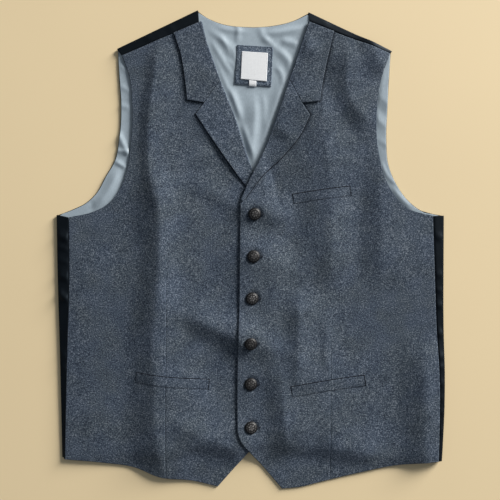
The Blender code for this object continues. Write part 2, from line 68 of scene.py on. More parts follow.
Front = namedtuple("Front", "armhole side_seam hem roll edge cutaway dart dart_top")
FRONTS = {
    "right": Front(
        armhole=((-183.5, 276), (-173.5, 248), (-169, 205.5), (-171.5, 146), (-177, 110.5),
                 (-188.5, 82), (-204, 64.5), (-225.5, 53.5), (-259, 46)),
        side_seam=((-259, 46), (-258.5, -57), (-261, -139.5), (-264.5, -298)),
        hem=((-208.5, -303.5), (-163, -310.5), (-129, -323.5), (-83.5, -329)),
        roll=((-69, 324.5), (-63.5, 300.5), (-53.5, 271), (-38.5, 229.5), (-23, 191.5), (-10, 151),
              (3, 113), (24, 69)),
        edge=((24, 62.5), (22, -100), (19.5, -256)),
        cutaway=((19.5, -256), (16.5, -265), (-2.5, -287), (-25, -312.5), (-47, -337.5)),
        dart=((-121, 150), (-119, -10), (-119.5, -120), (-120.5, -250)),
        dart_top=10,
    ),
    "left": Front(
        armhole=((197.5, 278), (186.5, 248), (180, 210), (178.5, 177), (182, 137.5),
                 (191.5, 99), (205, 75.5), (223.5, 58.5), (259, 48)),
        side_seam=((259, 48), (263.5, -91), (267.5, -203.5), (266, -300)),
        hem=((209, -306.5), (144, -320), (98.5, -331), (70, -338)),
        roll=((81.7, 324.2), (75, 304), (57, 250.5), (36, 188.5), (14.5, 133), (-5.5, 93.5), (-15, 70.5)),
        edge=((-15, 64), (-16.5, -71.5), (-19.5, -213.5), (-19, -257.5)),
        cutaway=((-19, -257.5), (-15.5, -268.5), (-2.5, -286), (20, -312), (44.5, -340.5)),
        dart=((122, 150), (114, -10), (113, -120), (113, -250)),
        dart_top=-95,
    ),
}

# A fold: its crest through plan points, the widths to its left and right, its height and how round it is
Fold = namedtuple("Fold", "points left right height round")
FOLD_FADE = 70
FOLD_STEPS = 24
FOLD_FOOT = 0.3
FOLD_REACH = 5
FOLDS = (
    Fold(((-128, 320), (-136, 248), (-141.5, 205), (-144.5, 156), (-143.5, 116), (-136, 78), (-132, 40)),
         36, 13, 4.6, 2),
    Fold(((-143, 130), (-131, 88), (-129, 49), (-129, -40), (-130, -110)), 26, 29, 7.0, 2),
    Fold(((-138, 140), (-131, 49), (-130, -50), (-131, -120)), 120, 40, 3.4, 6),
    Fold(((-132, -34), (-136, -120), (-135, -192), (-134, -242), (-129, -284), (-114, -350)),
         70, 37, 10.6, 4),
    Fold(((-98, -78), (-63, -105), (-40, -116), (-15, -128), (18, -144)), 33, 20, 6.8, 5),
    Fold(((-143, -194), (-95, -201), (-40, -208)), 30, 22, 2.4, 6),
    Fold(((-130, -226), (-86, -253), (-50, -270), (-15, -287), (16, -304)), 46, 24, 6.2, 5),
    Fold(((-118, 113), (-66, 137), (-50, 145)), 14, 11, 1.6, 3),
    Fold(((-92, 103), (-21, 61), (0, 48)), 16, 14, 2.0, 4),
    Fold(((-205, 30), (-214, -60), (-218, -170), (-214, -300)), 45, 35, 1.6, 16),
    Fold(((138, 316), (139, 284), (137, 248), (138, 224), (146, 206), (192, 168)), 90, 20, 7.2, 4),
    Fold(((163, 322), (176, 280), (192, 240)), 20, 18, 4.6, 4),
    Fold(((94, 250), (101, 200), (106, 150), (114, 80)), 34, 70, 6.2, 5),
    Fold(((106, 128), (112, 80), (113, 30), (113, -15), (112, -70)), 30, 44, 6.2, 3),
    Fold(((186, 160), (184, 92), (186, 40), (185, -10), (184, -70)), 60, 25, 4.8, 4),
    Fold(((66, -45), (68, -95), (68, -140), (66, -170), (63, -205)), 50, 22, 6.9, 2),
    Fold(((107, -78), (107, -135), (108, -168), (109, -190)), 16, 9, 1.6, 2),
    Fold(((20, 136), (25.5, 117), (32.5, 99), (38.5, 71), (41, 40)), 9, 13, -2.0, 2),
    Fold(((-40, 66), (-15, 61), (20, 55), (48, 48), (75, 42)), 18, 16, 3.0, 5),
    Fold(((-45, 16), (24, -17), (63, -32), (95, -42)), 28, 80, 4.4, 6),
    Fold(((-45, -92), (20, -137), (53, -145), (85, -150)), 26, 20, 3.8, 5),
    Fold(((42, -138), (46, -205), (50, -250), (56, -306)), 95, 23, 7.4, 4),
    Fold(((90, -268), (140, -283), (195, -288)), 38, 26, 4.0, 5),
    Fold(((246, -110), (247, -200), (247, -270), (248, -350)), 60, 31, 7.6, 3),
    Fold(((120, 305), (114, 234), (112, 205)), 12, 7, 1.0, 2),
)


def smooth_step(share):
    share = np.clip(share, 0, 1)
    return share * share * (3 - 2 * share)


def even(steps):
    return np.linspace(0, 1, steps + 1)


def between(places, run, points):
    """Points at these places of a run of points, straight from each to the next."""
    return np.column_stack([np.interp(places, run, column) for column in points.T])


def line(points, shares):
    """Points at these shares of the length of a smooth line through a table's points."""
    knots = np.array(points, float)
    gaps = np.linalg.norm(np.diff(knots, axis=0), axis=1)
    slopes = np.diff(knots, axis=0) / gaps[:, None]
    tangents = np.vstack([slopes[:1], slopes])
    weights = (gaps[:-1] / (gaps[:-1] + gaps[1:]))[:, None]
    tangents[1:-1] = slopes[:-1] * (1 - weights) + slopes[1:] * weights
    t = even(CURVE_STEPS)[1:, None]
    dense = [knots[:1]]
    for k, gap in enumerate(gaps):
        start = knots[k] * (1 + 2 * t) * (1 - t) ** 2 + tangents[k] * gap * t * (1 - t) ** 2
        end = knots[k + 1] * t * t * (3 - 2 * t) + tangents[k + 1] * gap * t * t * (t - 1)
        dense.append(start + end)
    dense = np.vstack(dense)
    run = np.concatenate([[0], np.cumsum(np.linalg.norm(np.diff(dense, axis=0), axis=1))])
    return between(np.asarray(shares) * run[-1], run, dense)


def x_on(path, y):
    """x of a plan line that runs upward, at these y."""
    return np.interp(y, path[:, 1], path[:, 0])


def inward(points, side):
    """Unit normals of a plan line, pointing into that half of the garment from its outer side."""
    along = np.gradient(points, axis=0)
    along /= np.linalg.norm(along, axis=1)[:, None]
    across = np.column_stack([-along[:, 1], along[:, 0]])
    return across if side == "right" else -across


# Distances from a cut edge at which a sheet has close lines, so that its edge is round
RIM = np.array([0, 0.25, 0.6, 1.1, 1.8])


def spaced(length, step, breaks=()):
    """Shares of a length: close at both ends, then even steps between its breaks."""
    ends = RIM / length
    inner = [stop for stop in breaks if 2 * ends[-1] < stop + ends[-1] < 1]
    stops = np.concatenate([ends, inner, 1 - ends[::-1]])
    runs = []
    for start, end in zip(stops, stops[1:]):
        count = max(1, round((end - start) * length / step))
        runs.append(np.linspace(start, end, count, endpoint=False))
    return np.append(np.concatenate(runs), 1.0)


def fill(top, bottom, left, right, across, down):
    """Plan grid between four border lines, at these shares across and down."""
    u, v = across[None, :, None], down[:, None, None]
    ruled = (1 - u) * left[:, None] + u * right[:, None] + (1 - v) * top[None] + v * bottom[None]
    upper = (1 - u) * top[0] + u * top[-1]
    lower = (1 - u) * bottom[0] + u * bottom[-1]
    return ruled - (1 - v) * upper - v * lower


def fold_height(folds, plan):
    """Height of all these folds together at plan points."""
    total = np.zeros(plan.shape[:-1])
    for fold in folds:
        path = line(fold.points, even(FOLD_STEPS))
        reach = FOLD_REACH * max(fold.left, fold.right)
        low, high = path.min(axis=0) - reach, path.max(axis=0) + reach
        near = ((plan > low) & (plan < high)).all(axis=-1)
        run = np.diff(path, axis=0)
        away = plan[near][:, None] - path[:-1]
        share = np.clip((away * run).sum(axis=-1) / (run * run).sum(axis=-1), 0, 1)
        away = away - share[..., None] * run
        distance = np.linalg.norm(away, axis=-1)
        nearest = distance.argmin(axis=1)
        each = np.arange(len(nearest))
        off, step = away[each, nearest], run[nearest]
        width = np.where(step[:, 0] * off[:, 1] > step[:, 1] * off[:, 0], fold.left, fold.right)
        fall = np.sqrt(distance[each, nearest] ** 2 + fold.round ** 2) - fold.round
        length = np.linalg.norm(run, axis=1).sum()
        along = (nearest + share[each, nearest]) / FOLD_STEPS * length
        fade = min(FOLD_FADE, length / 3)
        ends = smooth_step(along / fade) * smooth_step((length - along) / fade)
        slope = 1 - fall / width
        total[near] += fold.height * ends * (slope + np.sqrt(slope ** 2 + FOLD_FOOT ** 2)) / 2
    return total


hem_line = line(BACK_HEM, even(LINE_STEPS))
right_edge = np.vstack([line(FRONTS["right"].roll, even(2 * EDGE_STEPS)),
                        line(FRONTS["right"].edge, even(EDGE_STEPS))[1:],
                        line(FRONTS["right"].cutaway, even(EDGE_STEPS))[1:]])[::-1]


def front_under(side, plan):
    """Height of a front's underside above the floor."""
    x, y = plan[..., 0], plan[..., 1]
    past_hem = np.interp(x, hem_line[:, 0], hem_line[:, 1]) - y
    height = FRONT_Z * (1 - smooth_step((past_hem - HEM_LEVEL) / HEM_DROP))
    height += fold_height(FOLDS, plan)
    if side == "left":
        beyond = (x - x_on(right_edge, y)) * LAP_LEAN
        height += LAP_RISE * (1 - smooth_step((beyond - LAP_LEVEL) / LAP_SLOPE))
        start, end = LAPEL_END
        run = end - start
        share = np.clip((plan - start) @ run / (run @ run), 0, 1)
        away = np.linalg.norm(plan - start - share[..., None] * run, axis=-1)
        height += LAPEL_RISE * (1 - smooth_step((away - LAPEL_END_RADIUS) / LAP_SLOPE))
    return height


def front_top(side, plan):
    return front_under(side, plan) + FRONT_WALL


def raised(plan, heights):
    """Plan points with a height for each of them, or the same height for all."""
    heights = np.broadcast_to(heights, plan.shape[:-1])
    return np.concatenate([plan, heights[..., None]], axis=-1)


def distances(points, others):
    """How far each of these points is from the nearest of the others."""
    tree = kdtree.KDTree(len(others))
    for k, other in enumerate(others):
        tree.insert(other, k)
    tree.balance()
    return np.array([tree.find(point)[2] for point in points])


def smooth_mesh(name, points, faces, material):
    mesh = bpy.data.meshes.new(name)
    mesh.from_pydata(points, [], faces)
    mesh.shade_smooth()
    mesh.materials.append(material)
    return mesh


def placed(name, data):
    """An object of the scene, at the origin."""
    made = bpy.data.objects.new(name, data)
    bpy.context.scene.collection.objects.link(made)
    return made


def belongs(piece, slot, *nodes):
    """The piece rides on the one body and stands for these solids, whose parts it hides. The slot is not
    used.
    """
    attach(piece, "root")
    if nodes:
        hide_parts(*nodes)


def cloth(name, grids, wall, material):
    """A closed sheet about the middle surface through these grids, with its cut edges rounded."""
    walls = [np.broadcast_to(wall, grid.shape[:2]).ravel() for grid in grids]
    points = np.vstack([grid.reshape(-1, 3) for grid in grids])
    quads, count = [], 0
    for grid in grids:
        index = count + np.arange(grid.shape[0] * grid.shape[1]).reshape(grid.shape[:2])
        corners = (index[:-1, :-1], index[1:, :-1], index[1:, 1:], index[:-1, 1:])
        quads.append(np.stack(corners, axis=-1).reshape(-1, 4))
        count += index.size
    _, first, same = np.unique(points.round(4), axis=0, return_index=True, return_inverse=True)
    points = points[first]
    half_wall = np.concatenate(walls)[first] / 2
    quads = same.ravel()[np.vstack(quads)]
    corners = points[quads]
    facing = np.cross(corners[:, 2] - corners[:, 0], corners[:, 3] - corners[:, 1])
    normals = np.zeros_like(points)
    for corner in range(4):
        np.add.at(normals, quads[:, corner], facing)
    normals /= np.linalg.norm(normals, axis=1)[:, None]

    sides = np.sort(np.vstack([quads[:, [k, (k + 1) % 4]] for k in range(4)]), axis=1)
    sides, uses = np.unique(sides, axis=0, return_counts=True)
    rim = np.unique(sides[uses == 1])
    inset = 1 - np.clip(distances(points, points[rim]) / half_wall, 0, 1)
    offset = normals * (half_wall * np.sqrt(1 - inset ** 2))[:, None]
    on_rim = np.zeros(len(points), bool)
    on_rim[rim] = True
    under = np.where(on_rim, np.arange(len(points)), len(points) + np.cumsum(~on_rim) - 1)
    vertices = np.vstack([points + offset, (points - offset)[~on_rim]])
    faces = np.vstack([quads, under[quads[:, ::-1]]]).tolist()
    return placed(name, smooth_mesh(name, (vertices - PLAN_MIDDLE) * MM, faces, material))


def add_node(tree, kind, inputs=(), **settings):
    """A node of a tree with these settings, and its inputs linked or set. Returns its outputs."""
    made = tree.nodes.new(kind)
    for name, value in settings.items():
        setattr(made, name, value)
    for key, value in dict(inputs).items():
        if isinstance(value, bpy.types.NodeSocket):
            tree.links.new(value, made.inputs[key])
        else:
            made.inputs[key].default_value = value
    return made.outputs


class Shade:
    """An output of a material's nodes. Arithmetic on it adds Math nodes to its tree."""

    def __init__(self, tree, socket=None):
        self.tree = tree
        self.socket = socket

    def node(self, kind, inputs=(), output=0, **settings):
        sockets = {key: getattr(value, "socket", value) for key, value in dict(inputs).items()}
        return Shade(self.tree, add_node(self.tree, kind, sockets, **settings)[output])

    def math(self, operation, first, second):
        return self.node("ShaderNodeMath", {0: first, 1: second}, operation=operation)

    def __add__(self, other):
        return self.math("ADD", self, other)

    def __sub__(self, other):
        return self.math("SUBTRACT", self, other)

    def __rsub__(self, other):
        return self.math("SUBTRACT", other, self)

    def __mul__(self, other):
        return self.math("MULTIPLY", self, other)

    __radd__ = __add__

    def noise(self, place, scale=1.0, detail=2.0, roughness=0.5):
        return self.node("ShaderNodeTexNoise",
                         {"Vector": place, "Scale": scale, "Detail": detail, "Roughness": roughness})

    def stretched(self, place, scale, turn=0.0):
        return self.node("ShaderNodeMapping",
                         {"Vector": place, "Scale": scale, "Rotation": (0, 0, math.radians(turn))})

    def bands(self, place, direction, scale, distortion, detail=2.0):
        return self.node("ShaderNodeTexWave", {"Vector": place, "Scale": scale, "Distortion": distortion,
                                               "Detail": detail},
                         output=1, wave_type="BANDS", bands_direction=direction)

    def ramp(self, share, stops):
        shade = self.node("ShaderNodeValToRGB", {"Fac": share})
        elements = shade.socket.node.color_ramp.elements
        for k, (position, colour) in enumerate(stops):
            element = elements[k] if k < len(elements) else elements.new(position)
            element.position = position
            element.color = (*colour, 1)
        return shade

    def tinted(self, colour, tint):
        return self.node("ShaderNodeMix", {0: 1.0, 6: colour, 7: tint}, output=2,
                         data_type="RGBA", blend_type="MULTIPLY")

    def bump(self, height, distance, strength=1.0):
        return self.node("ShaderNodeBump", {"Height": height, "Distance": distance, "Strength": strength})


def begin_material(name):
    material = bpy.data.materials.new(name)
    material.use_nodes = True
    shade = Shade(material.node_tree)
    return material, shade, shade.node("ShaderNodeTexCoord", output=3)


def end_material(material, **inputs):
    """Sets or links the surface's inputs, named as on the shader with _ for each space."""
    surface = material.node_tree.nodes["Principled BSDF"]
    for name, value in inputs.items():
        socket = surface.inputs[name.replace("_", " ")]
        if isinstance(value, Shade):
            material.node_tree.links.new(value.socket, socket)
        else:
            socket.default_value = value


# The fibres' colours, darkest first, each with its place in the mixture, and the tints of whole patches
WOOL_FIBRES = ((0.36, (0.007, 0.011, 0.020)), (0.46, (0.030, 0.043, 0.063)),
               (0.54, (0.060, 0.080, 0.107)), (0.63, (0.19, 0.22, 0.26)))
WOOL_TINTS = ((0.36, (0.98, 0.99, 1.04)), (0.64, (1.03, 1.01, 0.97)))
WOOL_SHEEN = (0.75, 0.85, 1.0, 1)
WOOL_GAIN = 1.06


def mottled_wool(name, gain):
    """Dyed dark, mid and pale fibres carded together, with a short felted nap."""
    material, shade, place = begin_material(name)
    flecks = shade.noise(place, scale=590, detail=3.0, roughness=0.75)
    hairs = shade.noise(shade.stretched(place, (1900, 420, 1000), turn=35))
    cross_hairs = shade.noise(shade.stretched(place, (420, 1900, 1000), turn=20))
    clouds = shade.noise(place, scale=60, detail=3.0)
    tone = flecks * 0.8 + hairs * 0.15 + cross_hairs * 0.15 + (clouds - 0.5) * 0.08 - 0.05
    colour = shade.ramp(tone, [(stop, tuple(gain * part for part in fibre)) for stop, fibre in WOOL_FIBRES])
    colour = shade.tinted(colour, shade.ramp(shade.noise(place, scale=26), WOOL_TINTS))
    nap = shade.noise(place, scale=1500, detail=3.0, roughness=0.7)
    nap = nap * 0.5 + hairs * 0.3 + cross_hairs * 0.3
    end_material(material, Base_Color=colour, Roughness=0.92, Specular_IOR_Level=0.2, Sheen_Weight=0.12,
                 Sheen_Roughness=0.45, Sheen_Tint=WOOL_SHEEN,
                 Normal=shade.bump(nap, distance=0.0011, strength=0.55))
    return material


wool = mottled_wool("mottled_wool", WOOL_GAIN)

# Shares of a front's length at which its rows pass from the armhole to the side seam, from the jog at the
# break to the front edge, and from that edge to the cutaway
UNDERARM = 0.394
EDGE_TOP = 0.405
CUTAWAY_TOP = 0.848
SIDE_AT_CUTAWAY = 0.82
FRONT_LENGTH = 723
FRONT_STEP = 2.8
UPPER_ROWS = 165
HALF_FRONT = 130
SHOULDER_SPLIT = 0.48
DART_DEPTH = 0.42
DART_WIDTH = 0.9
DART_RUN = 60
# The buttons' places, where they press the left front in, their lean in degrees, and how rubbed they are;
# this last also paints how brightly each button catches the light
Button = namedtuple("Button", "x y lean_right lean_up rubbed")
BUTTONS = (
    Button(5.5, 50.5, 1.5, 2.0, 1.05),
    Button(4, -9.5, -1.0, 1.5, 0.8),
    Button(2, -69, 2.0, -1.0, 1.1),
    Button(0, -132.5, -1.5, 1.0, 0.65),
    Button(0, -190.5, 1.0, 2.0, 0.8),
    Button(0.5, -251.5, -1.5, -1.5, 1.2),
)
BUTTON_PRESS = 1.3
PRESS_RADIUS = 9.5
PRESS_SLOPE = 3.5
# The left leaves' free edges, which press a groove into the front, and the steps they are followed in
LEFT_COLLAR_EDGE = ((118, 309.8), (111, 281), (102.5, 241), (97.5, 209.5))
LEFT_LAPEL_EDGE = ((83.5, 190), (68.5, 160), (46, 133), (16, 104), (-10.5, 68))
LEFT_NOTCH = (73, 207.3)
PRESSING_EDGES = ((LEFT_COLLAR_EDGE, 60), (LEFT_LAPEL_EDGE, 90), ((LEFT_NOTCH, LEFT_LAPEL_EDGE[0]), 12))
LEAF_PRESS = 1.15
LEAF_PRESS_WIDTH = 2.0
INNER_STEP = 1.7
ROLL_STEPS = 400


def neck_roll(side, shares):
    """Points of the neck's roll line and normals into the front, at shares of its length."""
    dense = line(FRONTS[side].roll, even(ROLL_STEPS))
    found = np.hstack([dense, -inward(dense, side)])
    found = between(shares, even(ROLL_STEPS), found)
    return found[:, :2], found[:, 2:]


def front_grid(side):
    cut = FRONTS[side]
    upper_rows = np.linspace(UNDERARM / UPPER_ROWS, UNDERARM, UPPER_ROWS)
    down = spaced(FRONT_LENGTH, FRONT_STEP, (*upper_rows, EDGE_TOP, CUTAWAY_TOP))
    upper = np.clip(down / UNDERARM, 0, 1)
    seam = line(cut.side_seam, even(LINE_STEPS))
    seam = seam + inward(seam, side) * SEAM_GAP / 2
    seam = line(seam, np.interp(down, (UNDERARM, CUTAWAY_TOP, 1), (0, SIDE_AT_CUTAWAY, 1)))
    outer = np.where(down[:, None] < UNDERARM, line(cut.armhole, upper), seam)
    roll, roll_in = neck_roll(side, upper)
    neck = roll + roll_in * (ROLL_INSET + SEAM_GAP + BREAK_EASE * upper ** EASE_POWER)[:, None]
    jog = np.clip((down - UNDERARM) / (EDGE_TOP - UNDERARM), 0, 1)[:, None]
    edge = line(cut.edge, np.clip((down - EDGE_TOP) / (CUTAWAY_TOP - EDGE_TOP), 0, 1))
    cutaway = line(cut.cutaway, np.clip((down - CUTAWAY_TOP) / (1 - CUTAWAY_TOP), 0, 1))
    inner = np.where(down[:, None] < EDGE_TOP, neck + (edge - neck) * jog, edge)
    inner = np.where(down[:, None] > CUTAWAY_TOP, cutaway, inner)

    shoulder = np.array([outer[0], outer[0] + (inner[0] - outer[0]) * SHOULDER_SPLIT, inner[0]])
    hem = line(np.vstack([outer[-1:], cut.hem, inner[-1:]]), even(ROLL_STEPS))
    split = int(np.argmin(abs(hem[:, 0] - cut.dart[-1][0])))
    dart = line(np.vstack([shoulder[1:2], cut.dart, hem[split:split + 1]]), down)
    across = spaced(HALF_FRONT, FRONT_STEP)
    closer = spaced(HALF_FRONT, INNER_STEP if side == "left" else FRONT_STEP)
    halves = (fill(line(shoulder[:2], across), line(hem[:split + 1], across), outer, dart, across, down),
              fill(line(shoulder[1:], closer), line(hem[split:], closer), dart, inner, closer, down))
    plan = np.hstack([halves[0], halves[1][:, 1:]])
    if side == "left":
        plan = plan[:, ::-1]
    x, y = plan[..., 0], plan[..., 1]
    groove = np.exp(-((x - x_on(dart[::-1], y)) / DART_WIDTH) ** 2)
    wall = FRONT_WALL - DART_DEPTH * groove * smooth_step((cut.dart_top - y) / DART_RUN)
    if side == "left":
        for button in BUTTONS:
            away = np.hypot(x - button.x, y - button.y)
            wall = wall - BUTTON_PRESS * (1 - smooth_step((away - PRESS_RADIUS) / PRESS_SLOPE))
        pressing = np.vstack([line(path, even(steps)) for path, steps in PRESSING_EDGES])
        away = distances(raised(plan, 0).reshape(-1, 3), raised(pressing, 0)).reshape(x.shape)
        wall = wall - LEAF_PRESS * np.exp(-(away / LEAF_PRESS_WIDTH) ** 2)
    return raised(plan, front_under(side, plan) + wall / 2), wall


fronts = {}
for side in FRONTS:
    grid, wall = front_grid(side)
    fronts[side] = cloth(f"{side}_front", [grid], wall, wool)
    belongs(fronts[side], "wool", f"front_{side}")

# Pocket welts: three narrow folded strips of the fronts' wool, sewn down along the lower lip and at one end
# with fine dark thread. Wider dark stitches along the open upper lip are painted shade for the pocket's
# mouth, and the same row runs down the other end.
Welt = namedtuple("Welt", "name node side x0 y0 x1 y1 bow height")
WELTS = (
    Welt("breast_welt", "breast_welt_left", "left", 60.5, 72, 141, 83.5, 0.5, 12.5),
    Welt("left_pocket_welt", "pocket_welt_left", "left", 58, -200.5, 161.5, -185.5, 0.5, 14),
    Welt("right_pocket_welt", "pocket_welt_right", "right", -162, -180.5, -60, -190.5, -1.5, 13),
)
WELT_WALL = 1.0
WELT_HIGH = 0.75
WELT_LOW = 0.08
WELT_STEP = 1.6
WELT_END_STEPS = 11
SEAM_OUT = 0.8
# Stitches: how far apart, how long and how wide they are, and how far each is turned at random
Stitch = namedtuple("Stitch", "spacing length width")
# Wide dark stitches that paint the shade in the pocket's open mouth
MOUTH_SHADE_STITCH = Stitch(2.0, 2.1, 1.5)
SEAM_STITCH = Stitch(2.0, 2.1, 0.5)
SEAM_STITCH_Z = SEAM_STITCH.width / 3
STITCH_SWAY = 0.1
STITCH_SEED = 7
STITCH_SECTORS = 6
STITCH_RINGS = 4
DARK_THREAD = ((0.004, 0.005, 0.008), (0.02, 0.024, 0.034))


def stitch_rows():
    """Node tree that lays stitches along a mesh's edges, in its own length, width and turn."""
    tree = bpy.data.node_groups.new("stitch_rows", "GeometryNodeTree")
    tree.interface.new_socket("Path", in_out="INPUT", socket_type="NodeSocketGeometry")
    for label in ("Spacing", "Length", "Width", "Turn"):
        tree.interface.new_socket(label, in_out="INPUT", socket_type="NodeSocketFloat")
    tree.interface.new_socket("Thread", in_out="INPUT", socket_type="NodeSocketMaterial")
    tree.interface.new_socket("Stitches", in_out="OUTPUT", socket_type="NodeSocketGeometry")

    node = partial(add_node, tree)
    given = node("NodeGroupInput")
    path = node("GeometryNodeMeshToCurve", {"Mesh": given["Path"]})
    path = node("GeometryNodeResampleCurve", {"Curve": path[0], "Length": given["Spacing"]}, mode="LENGTH")
    size = node("ShaderNodeCombineXYZ", {"X": given["Length"], "Y": given["Width"], "Z": given["Width"]})
    bead = node("GeometryNodeMeshUVSphere",
                {"Segments": STITCH_SECTORS, "Rings": STITCH_RINGS, "Radius": 0.5})
    bead = node("GeometryNodeTransform", {"Geometry": bead["Mesh"], "Scale": size[0]})
    ahead = node("FunctionNodeAlignRotationToVector", {"Vector": node("GeometryNodeInputTangent")[0]},
                 axis="X", pivot_axis="Z")
    sway = node("FunctionNodeRandomValue", {"Min": -STITCH_SWAY, "Max": STITCH_SWAY, "Seed": STITCH_SEED},
                data_type="FLOAT")
    turn = node("ShaderNodeMath", {0: given["Turn"], 1: sway[1]}, operation="ADD")
    turn = node("ShaderNodeCombineXYZ", {"Z": turn[0]})
    turned = node("FunctionNodeRotateRotation", {"Rotation": ahead[0], "Rotate By": turn[0]},
                  rotation_space="LOCAL")
    laid = node("GeometryNodeInstanceOnPoints",
                {"Points": path[0], "Instance": bead[0], "Rotation": turned[0]})
    real = node("GeometryNodeRealizeInstances", {"Geometry": laid[0]})
    smooth = node("GeometryNodeSetShadeSmooth", {"Geometry": real[0]})
    dyed = node("GeometryNodeSetMaterial", {"Geometry": smooth[0], "Material": given["Thread"]})
    node("NodeGroupOutput", {"Stitches": dyed[0]})
    return tree


def sew(name, paths, stitch, thread, turn=0.0, slot="wool"):
    """Stitches along each of these paths of points, as one plain mesh that rides with the cloth."""
    points, edges = [], []
    for path in paths:
        first = len(points)
        points.extend(((path - PLAN_MIDDLE) * MM).tolist())
        edges.extend((k, k + 1) for k in range(first, len(points) - 1))
    mesh = bpy.data.meshes.new(name + "_path")
    mesh.from_pydata(points, edges, [])
    row = placed(name + "_path", mesh)
    modifier = row.modifiers.new("stitches", "NODES")
    modifier.node_group = STITCH_ROWS
    values = {"Spacing": stitch.spacing * MM, "Length": stitch.length * MM, "Width": stitch.width * MM,
              "Turn": turn, "Thread": thread}
    for item in STITCH_ROWS.interface.items_tree:
        if item.name in values:
            modifier[item.identifier] = values[item.name]
    graph = bpy.context.evaluated_depsgraph_get()
    stitches = bpy.data.meshes.new_from_object(row.evaluated_get(graph))
    stitches.name = name
    bpy.data.objects.remove(row)
    piece = placed(name, stitches)
    belongs(piece, slot)
    return piece


def sewing_thread(name, dark, pale):
    material, shade, place = begin_material(name)
    twist = shade.noise(shade.stretched(place, (3000, 3000, 900), turn=40))
    end_material(material, Base_Color=shade.ramp(twist, ((0.35, dark), (0.65, pale))), Roughness=0.8,
                 Specular_IOR_Level=0.05, Normal=shade.bump(twist, distance=0.0001))
    return material


STITCH_ROWS = stitch_rows()
dark_thread = sewing_thread("dark_thread", *DARK_THREAD)
mouth_shade_rows, seams = [], []
for welt in WELTS:
    run = np.array([welt.x1 - welt.x0, welt.y1 - welt.y0])
    length = np.linalg.norm(run)
    up = np.array([-run[1], run[0]]) / length
    middle_point = ((welt.x0 + welt.x1) / 2, (welt.y0 + welt.y1) / 2 + welt.bow)
    down, across = spaced(welt.height, WELT_STEP), spaced(length, WELT_STEP)
    middle = line(((welt.x0, welt.y0), middle_point, (welt.x1, welt.y1)), across)
    plan = middle[None] + up * welt.height * (0.5 - down)[:, None, None]
    stands = WELT_HIGH + (WELT_LOW - WELT_HIGH) * down[:, None]
    height = front_top(welt.side, plan) + stands - WELT_WALL / 2
    piece = cloth(welt.name, [raised(plan, height)], WELT_WALL, wool)
    belongs(piece, "wool", welt.node)
    upright = up * welt.height * (even(WELT_END_STEPS) - 0.5)[:, None]
    outward = run / length * SEAM_OUT
    open_lip = middle + up * (welt.height / 2 + SEAM_OUT)
    sewn_lip = middle - up * (welt.height / 2 + SEAM_OUT / 2)
    for paths, seam in ((mouth_shade_rows, open_lip), (mouth_shade_rows, middle[-1] + upright + outward),
                        (seams, sewn_lip), (seams, middle[0] + upright - outward / 2)):
        paths.append(raised(seam, front_top(welt.side, seam) + SEAM_STITCH_Z))
sew("welt_opening_stitches", mouth_shade_rows, MOUTH_SHADE_STITCH, dark_thread)
sew("welt_seam_stitches", seams, SEAM_STITCH, dark_thread)

# Collar leaves and lapels: the neck edge's wool rolls over and lies on the fronts. A collar leaf runs from
# the shoulder seam to the gorge seam and the lapel from there to the break, with a notch between them.
Leaf = namedtuple("Leaf", "gorge notch edges lifts")
LEAVES = {
    "right": Leaf(
        gorge=(-43, 240.5),
        notch=(-66.5, 208.5),
        edges={"collar": ((-109.5, 307.6), (-100.5, 281), (-94.5, 248), (-90.5, 212.5)),
               "lapel": ((-78.5, 192.5), (-58, 161.5), (-29.5, 120.5), (-6.5, 90), (19, 66.5))},
        lifts={"collar": ((100, 0.5),),
               "lapel": ((98, 0.0), (114, 1.4), (138, 1.3), (162, 0.3), (192, -0.3))},
    ),
    "left": Leaf(
        gorge=(54.5, 241),
        notch=LEFT_NOTCH,
        edges={"collar": LEFT_COLLAR_EDGE, "lapel": LEFT_LAPEL_EDGE},
        lifts={"collar": ((100, 0.9),), "lapel": ((105, 0.0), (150, 1.2))},
    ),
}
LEAF_FOLDS = (
    Fold(((24, 178), (45, 169), (64, 158)), 14, 10, 1.8, 4),
    Fold(((56, 306), (80, 288), (104, 275)), 14, 14, 2.4, 4),
    Fold(((-82, 264), (-64, 250), (-46, 236)), 12, 10, 0.8, 4),
    Fold(((-64, 178), (-36, 190), (-20, 196)), 12, 10, 0.8, 4),
)
LEAF_WALL = 1.8
ROLL_GAP = 0.5
BREAK_GAP = 0.4
GORGE_REACH = 0.01
GORGE_GAP = 0.7 * SEAM_GAP
GORGE_POWER = 20
# Dark stitches laid on the fronts just outside the leaves' free edges and notch corners are painted shade: a
# dark row that stands for the shadow in the crevice under each edge
EDGE_SHADOW_STITCH = Stitch(1.5, 3.0, 1.0)
EDGE_SHADOW_OUT = 0.5
EDGE_SHADOW_HEIGHTS = {"right": 0.3, "left": -0.4}
ROLL_TURN = 14
LEAF_STEP = 1.9
NOTCH_SHARE = 2 / 3
LEAF_LENGTHS = {"collar": 95, "lapel": 185}
LEAF_WIDTH = 58
FOLD_REST = 12
TAPER_FROM = 0.66
TAPER_TO = 0.96
TAPER_WALL = 0.35
TAPER_GAP = 0.2
# The lapels' nap lies the other way. Their paler copies of the wool are painted light for the brighter sheen
# the nap catches, more on the right lapel than on the left
LAPEL_PAINTED_LIGHT_GAINS = {"right": 1.19, "left": 1.1}


def rolled(rim, rim_in, low, high, reach, inset, steps):
    """Middle surface of a sheet that turns over at its rim, from its lower to its upper height."""
    angle = np.linspace(-math.pi / 2, math.pi / 2, steps + 1)
    plan = rim[:, None] + rim_in[:, None] * (inset - reach * np.cos(angle))[None, :, None]
    return raised(plan, ((low + high) / 2)[:, None] + ((high - low) / 2)[:, None] * np.sin(angle))


def bent_row(start, bend, end, across):
    """A row that runs straight to the notch and straight on to the corner beyond it."""
    before = start + (bend - start) * np.clip(across / NOTCH_SHARE, 0, 1)[:, None]
    beyond = (end - bend) * np.clip((across - NOTCH_SHARE) / (1 - NOTCH_SHARE), 0, 1)[:, None]
    return before + beyond


